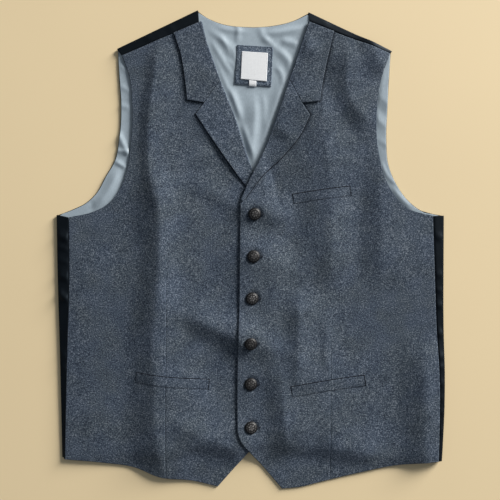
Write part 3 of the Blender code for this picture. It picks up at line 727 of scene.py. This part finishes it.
def turned_leaf(side, rim, rim_in, rows, outer, across, down, gap, wall, lifts):
    """Middle surface of a leaf from the neck edge, round its roll, to its outer edge."""
    landing = rim + rim_in * ROLL_INSET
    plan = fill(rows[0], rows[-1], landing, outer, across, down)[:, 1:]
    low = front_under(side, landing) + FRONT_WALL / 2
    high = low + FRONT_WALL / 2 + gap + wall / 2
    lift = np.interp(plan[..., 1], *np.transpose(lifts)) * across[1:] ** 2
    lift = lift + fold_height(LEAF_FOLDS, plan) * smooth_step(across[1:] * LEAF_WIDTH / FOLD_REST)
    height = front_top(side, plan) + (gap + wall / 2)[:, None] + lift
    roll = rolled(rim, rim_in, low, high, ROLL_REACH, ROLL_INSET, ROLL_TURN)
    return np.hstack([roll, raised(plan, height)])


edge_shadow_paths = []
for side, leaf in LEAVES.items():
    dense = line(FRONTS[side].roll, even(ROLL_STEPS))
    gorge = np.argmin(np.linalg.norm(dense - leaf.gorge, axis=1)) / ROLL_STEPS
    across = spaced(LEAF_WIDTH, LEAF_STEP, (NOTCH_SHARE,))
    before, after = neck_roll(side, np.array([gorge - GORGE_REACH, gorge + GORGE_REACH]))[0]
    seam_step = (after - before) / np.linalg.norm(after - before) * GORGE_GAP
    for kind, start, end, at_gorge, beyond, turned_over in (("collar", 0, gorge, -1, -1, 0),
                                                            ("lapel", gorge, 1, 0, 1, 1)):
        down = spaced(LEAF_LENGTHS[kind], LEAF_STEP)
        rim, rim_in = neck_roll(side, start + down * (end - start))
        to_gorge = 1 - down if kind == "lapel" else down
        rim = rim + beyond * seam_step * to_gorge[:, None] ** GORGE_POWER
        outer = line(leaf.edges[kind], down)
        landing = rim + rim_in * ROLL_INSET
        rows = [landing[k] + (outer[k] - landing[k]) * across[:, None] for k in (0, -1)]
        bend = leaf.notch + beyond * seam_step
        rows[at_gorge] = bent_row(landing[at_gorge], bend, outer[at_gorge], across)
        taper = smooth_step((down - TAPER_FROM) / (TAPER_TO - TAPER_FROM)) * turned_over
        gap = ROLL_GAP + (BREAK_GAP - ROLL_GAP) * smooth_step(down) * turned_over
        gap = gap + (TAPER_GAP - gap) * taper
        wall = LEAF_WALL * (1 + (TAPER_WALL - 1) * taper)
        grid = turned_leaf(side, rim, rim_in, rows, outer, across, down, gap, wall, leaf.lifts[kind])
        # A row of painted shade along the free edge and the notch corner, made as dark stitches on the front
        sewn = outer[taper < 1]
        edge_shadow_paths.append((side, sewn - inward(sewn, side) * EDGE_SHADOW_OUT))
        corner = rows[at_gorge][across >= NOTCH_SHARE][:-1]
        edge_shadow_paths.append((side, corner + (0, beyond * EDGE_SHADOW_OUT)))
        name = f"{side}_{kind}"
        # A lapel gets a paler copy of the wool: painted light for the sheen of its nap
        leaf_wool = mottled_wool(name + "_wool", LAPEL_PAINTED_LIGHT_GAINS[side]) if kind == "lapel" else wool
        walls = np.broadcast_to(wall[:, None], grid.shape[:2])
        piece = cloth(name, [grid if side == "left" else grid[:, ::-1]], walls, leaf_wool)
        belongs(piece, "wool", f"{kind}_{side}")
edge_shadow_paths = [raised(path, front_top(side, path) + EDGE_SHADOW_HEIGHTS[side]) for side, path in edge_shadow_paths]
sew("leaf_edge_stitches", edge_shadow_paths, EDGE_SHADOW_STITCH, dark_thread)

# Satin back: one cut of black satin that lies flat on the floor. It turns up at both sides and both
# shoulders, and a narrow strip of it comes round on top to its seam with the wool.
Back = namedtuple("Back", "shoulder_fold shoulder_seam armhole side_fold")
BACKS = {
    "right": Back(((-75.5, 341.0), (-190.5, 286.0)), ((-73.5, 323.5), (-183.5, 276.0)),
                  ((-188, 246.5), (-185.5, 204), (-188, 158.5), (-194, 127.5), (-207, 104.5), (-220.5, 80.5),
                   (-235.5, 66.5), (-252.5, 58)),
                  ((-276.5, 49.5), (-275, -36), (-272, -142.5), (-268.5, -295.5))),
    "left": Back(((82.5, 338.5), (200.5, 282.0)), ((83.5, 324.0), (197.5, 278.0)),
                 ((197, 241), (195, 201.5), (193.5, 156), (196.5, 120.5), (208.5, 92), (225.5, 69),
                  (244.5, 55)),
                 ((275, 48.5), (274.5, -71.5), (275, -227.5), (271.5, -300))),
}
NECK = ((-62, 330.5), (-41, 322), (-4, 317.5), (36, 320), (60, 326))
BACK_WALL = 1.0
STRIP_REACH = (FRONT_Z + FRONT_WALL / 2 - BACK_WALL / 2) / 2
STRIP_INSET = STRIP_REACH + BACK_WALL / 2
STRIP_TURN = 12
STRIP_STEPS = np.array([0.12, 0.3, 0.5, 0.7, 0.84, 0.92, 0.97, 1.0])
# How far a strip's fold lies below its seam at its two ends, and how deep the seam is drawn in
Lie = namedtuple("Lie", "first last seam")
SIDE_LIES = {"right": Lie(0.3, 1.6, 0.0), "left": Lie(0.8, 1.0, 0.9)}
SHOULDER_LIES = {"right": Lie(0.2, 0.2, 0.4), "left": Lie(2.0, -0.5, 1.0)}
SEAM_FROM = 0.78
PUCKERED_TO = 0.84
SEAM_WIDTH = 8
PUCKERS = (
    Fold(((-278, 23), (-267, 18), (-256, 13)), 9, 5, 2.4, 1.5),
    Fold(((-278, 5), (-257, 0)), 6, 4, 1.2, 1.0),
    Fold(((-278, -14), (-256, -18)), 6, 5, 1.0, 1.0),
    Fold(((-277, -34), (-267, -38), (-256, -44)), 12, 5, 2.4, 1.2),
    Fold(((-277, -57), (-267, -66), (-257, -75)), 6, 5, 2.8, 1.2),
    Fold(((-274, -142), (-266, -150), (-260, -156)), 5, 5, 0.9, 1.0),
    Fold(((-274, -160), (-266, -168), (-260, -172)), 5, 4, 0.9, 1.0),
    Fold(((262, 16), (275, 20)), 7, 6, 1.2, 1.2),
    Fold(((262, -38), (275, -34)), 7, 5, 1.1, 1.0),
    Fold(((263, -60), (275, -56)), 5, 4, 1.0, 1.0),
    Fold(((263, -82), (275, -77)), 6, 5, 1.4, 1.0),
    Fold(((264, -122), (275, -117)), 9, 6, 1.5, 1.2),
    Fold(((265, -155), (276, -149)), 7, 4, 1.1, 1.0),
    Fold(((265, -169), (276, -163)), 4, 4, 0.9, 0.8),
    Fold(((266, -193), (276, -187)), 8, 4, 1.2, 1.0),
    Fold(((266, -212), (276, -208)), 5, 4, 0.9, 0.8),
    Fold(((266, -232), (276, -227)), 5, 4, 0.9, 0.8),
    Fold(((265, -258), (275, -253)), 7, 5, 1.0, 1.0),
    Fold(((-150, 306), (-140, 295)), 6, 5, 0.8, 1.2),
    Fold(((-118, 320), (-110, 308)), 6, 5, 0.7, 1.2),
    Fold(((110, 327), (102, 315)), 7, 6, 0.6, 1.5),
)
SHOULDER_LENGTH = 128
NECK_LENGTH = 160
ARMHOLE_LENGTH = 265
SIDE_LENGTH = 350
BACK_STEP = 3.5
SIDE_STEP = 2.3
# A satin's colours, roughness, coat, shine and the tint of its shine
Satin = namedtuple("Satin", "dark pale roughness coat shine tint")
BLACK_SATIN = Satin((0.0008, 0.0014, 0.002), (0.003, 0.0045, 0.006), 0.5, 0.0, 0.2, (0.62, 0.79, 1.0, 1))


def satin(name, cloth_look):
    """Warp-faced satin: long floats that shine along the cloth, over a fine weave."""
    material, shade, place = begin_material(name)
    floats = shade.noise(shade.stretched(place, (2600, 260, 900)))
    clouds = shade.noise(place, scale=45)
    weave = shade.bands(place, "DIAGONAL", scale=620, distortion=0.6, detail=1.0)
    colours = ((0.35, cloth_look.dark), (0.65, cloth_look.pale))
    end_material(material, Base_Color=shade.ramp(floats * 0.7 + clouds * 0.3, colours),
                 Roughness=cloth_look.roughness + (floats - 0.5) * 0.16,
                 Specular_IOR_Level=cloth_look.shine, Specular_Tint=cloth_look.tint,
                 Coat_Weight=cloth_look.coat, Coat_Roughness=0.32,
                 Normal=shade.bump(floats * 0.6 + weave * 0.4, distance=0.00006, strength=0.6))
    return material


def turned_strip(side, rim, normals, seam, lie):
    """A strip of the back from its flat panel, round its fold and up to its seam with the wool."""
    drop = np.linspace(lie.first, lie.last, len(rim))
    landing = rim + normals * STRIP_INSET
    high = front_under(side, landing) + FRONT_WALL / 2 - drop
    roll = rolled(rim, normals, BACK_WALL / 2, high, STRIP_REACH, STRIP_INSET, STRIP_TURN)
    plan = landing[:, None] + (seam - landing)[:, None] * STRIP_STEPS[None, :, None]
    height = front_under(side, plan) + FRONT_WALL / 2 - drop[:, None] * (1 - STRIP_STEPS)
    drawn_in = lie.seam * np.clip(np.linalg.norm(seam - landing, axis=1) / SEAM_WIDTH, 0, 1)[:, None]
    height = height - drawn_in * smooth_step((STRIP_STEPS - SEAM_FROM) / (1 - SEAM_FROM))
    height = height + fold_height(PUCKERS, plan) * smooth_step((1 - STRIP_STEPS) / (1 - PUCKERED_TO))
    return np.hstack([roll, raised(plan, height)])


black_satin = satin("black_satin", BLACK_SATIN)
shoulder_across = spaced(SHOULDER_LENGTH, BACK_STEP)
armhole_down = spaced(ARMHOLE_LENGTH, BACK_STEP)
side_down = spaced(SIDE_LENGTH, SIDE_STEP)
rims, back_edges, strips = {}, {}, []
for side, cut in BACKS.items():
    shoulder, fold = line(cut.shoulder_fold, shoulder_across), line(cut.side_fold, side_down)
    shoulder_in, fold_in = inward(shoulder, side), inward(fold, side)
    rims[side] = (shoulder, shoulder_in, fold, fold_in)
    shoulder_seam = line(cut.shoulder_seam, shoulder_across) - shoulder_in * SEAM_GAP / 2
    side_seam = line(FRONTS[side].side_seam, side_down)
    side_seam = side_seam - inward(side_seam, side) * SEAM_GAP / 2
    side_strip = turned_strip(side, fold, fold_in, side_seam, SIDE_LIES[side])
    shoulder_strip = turned_strip(side, shoulder, shoulder_in, shoulder_seam, SHOULDER_LIES[side])
    shoulder_edge, side_edge = shoulder_strip[:, 0, :2], side_strip[:, 0, :2]
    armhole = line(np.vstack([shoulder_edge[-1:], cut.armhole, side_edge[:1]]), armhole_down)
    armhole[[0, -1]] = shoulder_edge[-1], side_edge[0]
    back_edges[side] = (shoulder_edge, np.vstack([armhole, side_edge[1:]]))
    if side == "right":
        strips += [side_strip[:, ::-1], shoulder_strip[::-1].transpose(1, 0, 2)[::-1]]
    else:
        strips += [side_strip, shoulder_strip.transpose(1, 0, 2)[::-1]]
(right_top, right_side), (left_top, left_side) = back_edges["right"], back_edges["left"]
neck = line(np.vstack([right_top[:1], NECK, left_top[:1]]), spaced(NECK_LENGTH, BACK_STEP))
top = np.vstack([right_top[::-1], neck[1:-1], left_top])
across, down = even(len(top) - 1), even(len(right_side) - 1)
hem = line(np.vstack([right_side[-1:], BACK_HEM[1:-1], left_side[-1:]]), across)
panel = fill(top, hem, right_side, left_side, across, down)
panel[:, 0], panel[:, -1], panel[0] = right_side, left_side, top
back = cloth("satin_back", [raised(panel, BACK_WALL / 2), *strips], BACK_WALL, black_satin)
belongs(back, "back_satin", "back")

# Back lining: one cut of grey satin on the inside of the back, seen in the neck and as a strip in each
# armhole. It is cut a little smaller than the back and lies in soft ripples where nothing holds it down.
LINING_Z = 1.3
LINING_WALL = 1.0
LINING_REST = -0.2
LINING_EDGE = 1.0
LINING_FOLD = 2.2
LINING_HEM = 9.0
LINING_ROWS = (140, 50)
LINING_COLUMNS = (58, 84, 58)
LINING_SPAN = 400
LINING_ARM_STEPS = 120
LINING_ARM_KEPT = slice(8, -4)
LINING_SIDE_KEPT = slice(20, -2, 20)
# How far in from the neck's and the armholes' edges the lining is free to ripple, and above which y
NECK_EASE = 9
NECK_FREE_ABOVE = 100
ARM_EASE = 5
ARM_START = 2
ARM_FREE_ABOVE = 48
GREY_SATIN = Satin((0.275, 0.335, 0.385), (0.365, 0.44, 0.5), 0.4, 0.25, 0.55, (1, 1, 1, 1))
RIPPLES = (
    Fold(((-66, 318), (-42, 300), (-26, 284), (-20, 250)), 6, 5, 1.1, 1.5),
    Fold(((-60, 302), (-46, 280), (-34, 260), (-20, 242)), 5, 5, 1.0, 1.2),
    Fold(((-62, 292), (-50, 262), (-38, 236), (-24, 206)), 5, 6, 1.3, 1.4),
    Fold(((-46, 308), (-36, 292), (-28, 272)), 4, 5, 0.9, 1.0),
    Fold(((-34, 272), (-20, 256)), 4, 4, 0.6, 1.0),
    Fold(((-31, 236), (-21, 204), (-14, 178)), 7, 4.5, 2.0, 1.3),
    Fold(((-15, 184), (-6, 156), (2, 130)), 6, 4.5, 1.5, 1.3),
    Fold(((3, 232), (6, 196), (3, 160), (2, 104)), 9, 13, 2.5, 1.6),
    Fold(((48, 252), (38, 212), (26, 176), (12, 136)), 8, 9, 2.0, 1.8),
    Fold(((16, 228), (19, 202), (18, 170)), 5, 5, 0.9, 1.2),
    Fold(((12, 306), (50, 311), (84, 318)), 5, 6, 1.5, 1.2),
    Fold(((40, 298), (56, 295), (72, 290)), 6, 6, 1.5, 1.2),
    Fold(((30, 290), (46, 278), (58, 262), (64, 246)), 6, 7, 1.7, 1.5),
    Fold(((14, 304), (28, 294), (38, 282)), 5, 5, 0.9, 1.2),
    Fold(((32, 266), (44, 250), (48, 226)), 5, 5, 1.2, 1.2),
    Fold(((-54, 318), (-20, 311), (2, 310)), 4, 5, 0.9, 1.0),
    Fold(((-20, 326), (-18, 308), (-21, 292)), 5, 4, 1.1, 1.0),
    Fold(((14, 322), (16, 306), (30, 292)), 5, 6, 1.0, 1.2),
    Fold(((-188, 264), (-170, 250)), 4, 4, 0.9, 1.0),
    Fold(((-188, 234), (-168, 224)), 5, 4, 0.8, 1.0),
    Fold(((-188, 206), (-170, 202)), 4, 5, 0.9, 1.0),
    Fold(((-192, 174), (-182, 151.5), (-168, 126)), 5, 5, 2.0, 1.2),
    Fold(((-194, 142), (-168, 137)), 4, 4, 1.5, 0.8),
    Fold(((-196, 128), (-174, 114)), 5, 3, 1.6, 0.8),
    Fold(((-184, 122), (-193, 102), (-200, 88), (-208.5, 75), (-218, 63.5), (-228, 54)), 8, 9, 2.4, 1.2),
    Fold(((-226, 72), (-226.5, 58), (-227, 44)), 3, 4, -0.8, 0.8),
    Fold(((202, 290), (200, 241), (198, 201), (196.5, 156), (199.5, 120), (211, 94), (228, 71), (262, 50)),
         4, 16, 1.3, 1.0),
    Fold(((190, 262), (187, 240), (185, 216)), 5, 4, 0.5, 1.0),
    Fold(((177, 226), (190, 212), (206, 196)), 26, 13, 1.6, 1.0),
    Fold(((166, 204), (180, 187), (198, 168)), 10, 9, 1.2, 1.0),
    Fold(((180, 158), (198, 146)), 6, 5, 0.5, 1.0),
    Fold(((184, 128), (192, 110), (200, 97)), 3, 3, 0.7, 0.8),
    Fold(((196, 104), (206, 92)), 3, 3, 0.6, 0.8),
    Fold(((199, 95), (209, 79.5), (221, 66.5), (234, 57)), 4, 4, 0.9, 0.8),
    Fold(((206, 95), (222, 80)), 3, 4, 0.5, 0.8),
)


def lining_edge(side):
    """The lining's shoulder edge and its side edge with the armhole, just inside the back's."""
    shoulder, shoulder_in, fold, fold_in = rims[side]
    top = shoulder + shoulder_in * (STRIP_INSET + LINING_FOLD)
    lower = fold + fold_in * (STRIP_INSET + LINING_FOLD)
    cut = BACKS[side]
    armhole = np.vstack([cut.shoulder_fold[-1:], cut.armhole, cut.side_fold[:1]])
    armhole = line(armhole, even(LINING_ARM_STEPS))
    armhole = (armhole + inward(armhole, side) * LINING_EDGE)[LINING_ARM_KEPT]
    armhole = line(np.vstack([top[-1:], armhole, lower[:1] - [0, LINING_EDGE]]), even(LINING_ROWS[0]))
    lower = np.vstack([armhole[-1:], lower[LINING_SIDE_KEPT], lower[-1:] + [0, LINING_HEM]])
    lower = line(lower, even(LINING_ROWS[1]))
    return line(top, even(LINING_COLUMNS[0])), np.vstack([armhole, lower[1:]])


def along_border(points, shares):
    """Points of a border at shares of its run of points."""
    return between(shares, even(len(points) - 1), points)


grey_satin = satin("grey_satin", GREY_SATIN)
(right_top, right_side), (left_top, left_side) = lining_edge("right"), lining_edge("left")
neck = np.vstack([right_top[:1], np.array(NECK) - [0, LINING_EDGE], left_top[:1]])
neck = line(neck, even(LINING_COLUMNS[1]))
top = np.vstack([right_top[::-1], neck[1:-1], left_top])
close = RIM[1:] / LINING_SPAN
across = np.unique(np.concatenate([even(len(top) - 1), close, 1 - close]))
down = np.unique(np.concatenate([even(sum(LINING_ROWS)), close, 1 - close]))
hem = np.vstack([right_side[-1:], np.array(BACK_HEM[1:-1]) + [0, LINING_HEM], left_side[-1:]])
plan = fill(along_border(top, across), line(hem, across), along_border(right_side, down),
            along_border(left_side, down), across, down)
x, y = plan[..., 0], plan[..., 1]
necks = {side: line(cut.roll, even(ROLL_STEPS))[::-1] for side, cut in FRONTS.items()}
arms = {side: line(cut.armhole, even(ROLL_STEPS))[::-1] for side, cut in FRONTS.items()}
from_neck = np.minimum(x - x_on(necks["right"], y), x_on(necks["left"], y) - x)
from_arm = np.maximum(x_on(arms["right"], y) - x, x - x_on(arms["left"], y))
free = np.maximum(smooth_step(from_neck / NECK_EASE) * (y > NECK_FREE_ABOVE),
                  smooth_step((from_arm + ARM_START) / ARM_EASE) * (y > ARM_FREE_ABOVE))
ripple = np.maximum(fold_height(RIPPLES, plan) * free, LINING_REST)
lining = cloth("satin_lining", [raised(plan, LINING_Z + LINING_WALL / 2 + ripple)], LINING_WALL, grey_satin)
belongs(lining, "lining_satin", "back_lining")

# Neck label: a patch of the fronts' wool sewn to the lining, with a bare woven white label sewn on it and a
# small bare tab of the same ribbon caught under the label's lower edge.
Piece = namedtuple("Piece", "upper_left upper_right lower_left lower_right")
PATCH = Piece((-19.5, 291.5), (31.5, 288.5), (-23, 235.5), (29.5, 232))
LABEL = Piece((-12.5, 282), (24.5, 279.5), (-14.5, 242.5), (22.5, 239))
TAB = Piece((-2.5, 240.9), (8, 239.9), (-2.5, 232.5), (7.5, 231.8))
PATCH_WALL = 1.2
LABEL_WALL = 0.8
PATCH_Z = 3.3
LABEL_Z = 4.6
PATCH_PUFF = 0.35
LABEL_PUFF = 0.15
TAB_PUFF = 0.1
PUFF_POWER = 0.4
TAB_DROOP = 1.0
TAB_DROOP_FROM = 235
TAB_DROOP_LENGTH = 3
PATCH_STEP = 1.4
PATCH_GAIN = 1.7
PATCH_STITCH = Stitch(3.2, 2.2, 0.5)
PATCH_SEAM_INSET = 1.6
PATCH_SEAM_Z = PATCH_Z + PATCH_WALL / 2 + 0.2
LABEL_STITCH = Stitch(2.4, 1.7, 0.35)
LABEL_SEAM_INSET = 1.1
LABEL_SEAM_Z = LABEL_Z + LABEL_WALL / 2 + 0.05
SEAM_SIDE_STEPS = 12
PALE_THREAD = ((0.5, 0.52, 0.55), (0.75, 0.77, 0.8))
RIBBON_COLOURS = ((0.25, (0.62, 0.64, 0.67)), (0.7, (0.84, 0.86, 0.88)))


def flat_piece(piece, middle, puff):
    """Middle surface of a four-cornered piece that swells a little between its sewn edges."""
    upper_left, upper_right, lower_left, lower_right = (np.array(corner, float) for corner in piece)
    down = spaced(np.linalg.norm(lower_left - upper_left), PATCH_STEP)
    across = spaced(np.linalg.norm(upper_right - upper_left), PATCH_STEP)
    left = upper_left + (lower_left - upper_left) * down[:, None]
    right = upper_right + (lower_right - upper_right) * down[:, None]
    plan = left[:, None] + (right - left)[:, None] * across[None, :, None]
    swell = np.sin(math.pi * across)[None] ** PUFF_POWER * np.sin(math.pi * down)[:, None] ** PUFF_POWER
    return raised(plan, middle + puff * np.nan_to_num(swell))


def stepped(path, steps):
    """A path with this many steps from each of its points to the next."""
    sides = [np.linspace(start, end, steps, endpoint=False) for start, end in zip(path, path[1:])]
    return np.vstack([*sides, path[-1:]])


def outline_of(piece, inset, height):
    """A closed path along a piece's edges, this far inside them."""
    corners = np.array([piece.upper_left, piece.upper_right, piece.lower_right, piece.lower_left], float)
    corners = corners + np.sign(corners.mean(axis=0) - corners) * inset
    return raised(stepped(np.vstack([corners, corners[:1]]), SEAM_SIDE_STEPS), height)


def woven_ribbon(name):
    material, shade, place = begin_material(name)
    weft = shade.bands(place, "Y", scale=560, distortion=0.4)
    warp = shade.bands(place, "X", scale=820, distortion=0.4)
    slub = shade.noise(shade.stretched(place, (200, 2400, 900)))
    colour = shade.ramp(weft * 0.35 + warp * 0.25 + slub * 0.4, RIBBON_COLOURS)
    end_material(material, Base_Color=colour, Roughness=0.62, Sheen_Weight=0.15,
                 Normal=shade.bump(weft * 0.5 + warp * 0.5, distance=0.00012, strength=0.7))
    return material


ribbon = woven_ribbon("white_ribbon")
pale_thread = sewing_thread("pale_thread", *PALE_THREAD)
pale_wool = mottled_wool("pale_mottled_wool", PATCH_GAIN)
patch = cloth("wool_patch", [flat_piece(PATCH, PATCH_Z, PATCH_PUFF)], PATCH_WALL, pale_wool)
label = cloth("woven_label", [flat_piece(LABEL, LABEL_Z, LABEL_PUFF)], LABEL_WALL, ribbon)
tab_surface = flat_piece(TAB, LABEL_Z, TAB_PUFF)
tab_surface[..., 2] -= TAB_DROOP * smooth_step((TAB_DROOP_FROM - tab_surface[..., 1]) / TAB_DROOP_LENGTH)
tab = cloth("woven_tab", [tab_surface], LABEL_WALL, ribbon)
patch_seam = sew("patch_seam", [outline_of(PATCH, PATCH_SEAM_INSET, PATCH_SEAM_Z)], PATCH_STITCH, dark_thread)
label_seam = sew("label_seam", [outline_of(LABEL, LABEL_SEAM_INSET, LABEL_SEAM_Z)], LABEL_STITCH, pale_thread,
                 slot="label_weave")
belongs(patch, "wool", "label_patch")
belongs(label, "label_weave", "label")
belongs(tab, "label_weave", "size_tab")

# Buttonholes: six slits across the left front, one under each button, which shows past the button's edge.
# Each is worked round with close stitches of dark thread that lie across its edge, with a round outer end.
HOLE_FROM = -5
HOLE_TO = 12
HOLE_HALF_WIDTH = 0.7
HOLE_EYE = 1.3 * HOLE_HALF_WIDTH
HOLE_EYE_STEPS = 9
HOLE_STEPS = 8
HOLE_Z = 0.1
HOLE_STITCH = Stitch(0.55, 1.4, 0.5)
HOLE_THREAD = ((0.016, 0.02, 0.028), (0.045, 0.053, 0.07))

turn = np.linspace(-math.pi / 2, math.pi / 2, HOLE_EYE_STEPS)
eye = np.column_stack([HOLE_TO + HOLE_EYE * np.cos(turn), HOLE_EYE * np.sin(turn)])
hole = np.vstack([[(HOLE_FROM, -HOLE_HALF_WIDTH)], eye, [(HOLE_FROM, HOLE_HALF_WIDTH)]])
hole = stepped(hole, HOLE_STEPS)
holes = [hole + (button.x, button.y) for button in BUTTONS]
holes = [raised(path, front_top("left", path) + HOLE_Z) for path in holes]
hole_thread = sewing_thread("buttonhole_thread", *HOLE_THREAD)
sew("buttonhole_threads", holes, HOLE_STITCH, hole_thread, turn=math.pi / 2)

# Buttons: six cast domes of dark antiqued bronze, each with a carved flower inside a ring of leaves and a
# plain rim, rubbed bright on the high places. Each is sewn on by its shank and leans with the cloth.
BUTTON_PROFILE = ((0, 4.2), (3.0, 4.1), (5.6, 3.75), (7.4, 3.1), (8.5, 2.1), (9.0, 1.3),
                  (8.3, 0.6), (5.0, 0), (0, 0))
BUTTON_RINGS = 60
BUTTON_SECTORS = 84
BUTTON_TOP_SHARE = 0.5
BUTTON_FOOT = 5.0
BUTTON_GAP = -1.15
CARVING_DEPTH = 0.55
CARVING_GROUND = 0.6
CARVING_RADIUS = 8.6
# A carved ring of the dome: where it starts and ends, and how softly, as radii
Ring = namedtuple("Ring", "start rise end fall")
PETAL_RING = Ring(1.0, 0.8, 5.0, 1.2)
PETAL_PAIRS = 3
PETAL_POWER = 0.6
LEAF_RING = Ring(5.1, 0.5, 7.5, 0.7)
LEAF_PAIRS = 6
LEAF_TWIST = 0.35
LEAF_POWER = 0.7
LEAF_HEIGHT = 0.8
HEART_RADIUS = 1.3
HEART_FALL = 0.6
HEART_BEADS = 8
HEART_RELIEF = 0.2
HEART_RISE = 0.8
GOLDEN_TURN = 2.4
BRONZE_COLOURS = ((0.15, (0.004, 0.004, 0.005)), (0.4, (0.022, 0.021, 0.021)),
                  (0.7, (0.064, 0.063, 0.064)), (1.0, (0.18, 0.175, 0.175)))


def antiqued_bronze(name):
    material, shade, place = begin_material(name)
    # The rubbed share brightens the metal: wear on the high places, and painted light that differs from
    # button to button
    rubbed = shade.node("ShaderNodeAttribute", output=2, attribute_name="rubbed")
    stain = shade.noise(place, scale=700, detail=3.0, roughness=0.65)
    colour = shade.ramp(rubbed * 0.8 + stain * 0.5 - 0.2, BRONZE_COLOURS)
    end_material(material, Base_Color=colour, Metallic=0.35, Roughness=0.52 - rubbed * 0.14,
                 Normal=shade.bump(stain, distance=0.0002, strength=0.6))
    return material


def on_ring(radius, ring):
    """1 on a ring of the dome and 0 beyond its soft borders."""
    return smooth_step((radius - ring.start) / ring.rise) * smooth_step((ring.end - radius) / ring.fall)


def carved_button(name, wear_and_light):
    """A turned dome with its carving, whose vertices say how far the metal there is rubbed, scaled for each
    button as painted light.
    """
    shares = even(BUTTON_RINGS)[1:-1]
    radius, height = line(BUTTON_PROFILE, shares).T[..., None]
    turn = np.arange(BUTTON_SECTORS) * math.tau / BUTTON_SECTORS
    petals = abs(np.cos(PETAL_PAIRS * turn)) ** PETAL_POWER * on_ring(radius, PETAL_RING)
    beads = 1 - HEART_RELIEF + HEART_RELIEF * np.cos(HEART_BEADS * turn) * smooth_step(radius / HEART_RISE)
    heart = smooth_step((HEART_RADIUS - radius) / HEART_FALL) * beads
    leaves = abs(np.sin(LEAF_PAIRS * turn + LEAF_TWIST * radius)) ** LEAF_POWER * on_ring(radius, LEAF_RING)
    on_top = (shares[:, None] < BUTTON_TOP_SHARE) & (radius < CARVING_RADIUS)
    carving = np.maximum.reduce([petals, heart, LEAF_HEIGHT * leaves]) * on_top
    lift = CARVING_DEPTH * (carving - CARVING_GROUND) * on_top
    crown = BUTTON_PROFILE[0][1] + CARVING_DEPTH * (carving[0].mean() - CARVING_GROUND)
    rings = np.stack([radius * np.cos(turn), radius * np.sin(turn), height + lift], axis=-1).reshape(-1, 3)
    points = np.vstack([[(0, 0, crown)], rings, [(0, 0, BUTTON_PROFILE[-1][1])]])
    index = 1 + np.arange(len(rings)).reshape(len(shares), BUTTON_SECTORS)
    after = np.roll(index, -1, axis=1)
    faces = [[0, a, b] for a, b in zip(index[0], after[0])]
    faces += np.stack([index[:-1], index[1:], after[1:], after[:-1]], axis=-1).reshape(-1, 4).tolist()
    faces += [[len(points) - 1, b, a] for a, b in zip(index[-1], after[-1])]
    mesh = smooth_mesh(name, points * MM, faces, bronze)
    # The rubbed share is scaled for each button: wear, and painted light for how brightly that button catches
    # the light
    rubbed = np.concatenate([[carving[0].mean()], carving.ravel(), [0]]) * wear_and_light
    mesh.attributes.new("rubbed", "FLOAT", "POINT").data.foreach_set("value", rubbed.astype(np.float32))
    return mesh


bronze = antiqued_bronze("antiqued_bronze")
for number, button in enumerate(BUTTONS, 1):
    middle = np.array([(button.x, button.y)])
    foot = BUTTON_FOOT * np.array([(1, 0), (-1, 0), (0, 1), (0, -1)])
    east, west, north, south = front_top("left", middle + foot)
    lean = Euler((math.atan((north - south) / (2 * BUTTON_FOOT)) - math.radians(button.lean_up),
                  math.radians(button.lean_right) - math.atan((east - west) / (2 * BUTTON_FOOT)), 0))
    seat = raised(middle, front_top("left", middle) + BUTTON_GAP)[0]
    mesh = carved_button(f"domed_button_{number}", button.rubbed)
    mesh.transform(Euler((0, 0, GOLDEN_TURN * number)).to_matrix().to_4x4())
    mesh.transform(lean.to_matrix().to_4x4())
    mesh.transform(Matrix.Translation(Vector((seat - PLAN_MIDDLE) * MM)))
    piece = placed(f"domed_button_{number}", mesh)
    belongs(piece, "button_bronze", f"button_{number}")

# Stage: a plain pale floor just under the vest, a large soft key light that comes low from the upper right,
# a dim pale sky that fills the shadows, and a camera straight above the vest's middle.
FLOOR_COLOURS = ((0.3, (0.7566, 0.6111, 0.3783)), (0.7, (0.78, 0.63, 0.39)))
FLOOR_HALF = 3
FLOOR_LEVEL = -0.0004
SKY_COLOUR = (0.86, 0.93, 1.0)
SKY_STRENGTH = 0.22
KEY_AROUND = 42
KEY_UP = 18
KEY_AWAY = 8.0
KEY_SIZE = 3.4
KEY_POWER = 1600
KEY_COLOUR = (1.0, 0.97, 0.93)
PIXEL = 1.42 * MM
IMAGE_PIXELS = 500
IMAGE_MIDDLE = (-0.00062, -0.00055)
CLOTH_LEVEL = 0.005
LENS = 50
SENSOR = 36

floor_material, shade, place = begin_material("pale_floor")
floor_colour = shade.ramp(shade.noise(place, scale=3), FLOOR_COLOURS)
end_material(floor_material, Base_Color=floor_colour, Roughness=0.75)
corners = raised(FLOOR_HALF * np.array([(-1, -1), (1, -1), (1, 1), (-1, 1)]), FLOOR_LEVEL)
floor = placed("floor", smooth_mesh("floor", corners, [(0, 1, 2, 3)], floor_material))

sky = bpy.data.worlds.new("sky")
sky.use_nodes = True
glow = sky.node_tree.nodes["Background"].inputs
glow["Color"].default_value = (*SKY_COLOUR, 1)
glow["Strength"].default_value = SKY_STRENGTH
bpy.context.scene.world = sky

key_light = bpy.data.lights.new("key", "AREA")
key_light.size = KEY_SIZE
key_light.energy = KEY_POWER
key_light.color = KEY_COLOUR
key = placed("key", key_light)
around, up = math.radians(KEY_AROUND), math.radians(KEY_UP)
toward_key = Vector((math.cos(up) * math.cos(around), math.cos(up) * math.sin(around), math.sin(up)))
key.location = toward_key * KEY_AWAY
key.rotation_euler = toward_key.to_track_quat("Z", "Y").to_euler()

lens = bpy.data.cameras.new("camera")
lens.lens = LENS
lens.sensor_width = SENSOR
camera = placed("camera", lens)
camera.location = (*IMAGE_MIDDLE, PIXEL * IMAGE_PIXELS * LENS / SENSOR + CLOTH_LEVEL)
bpy.context.scene.camera = camera
bpy.context.scene.view_settings.view_transform = "Standard"
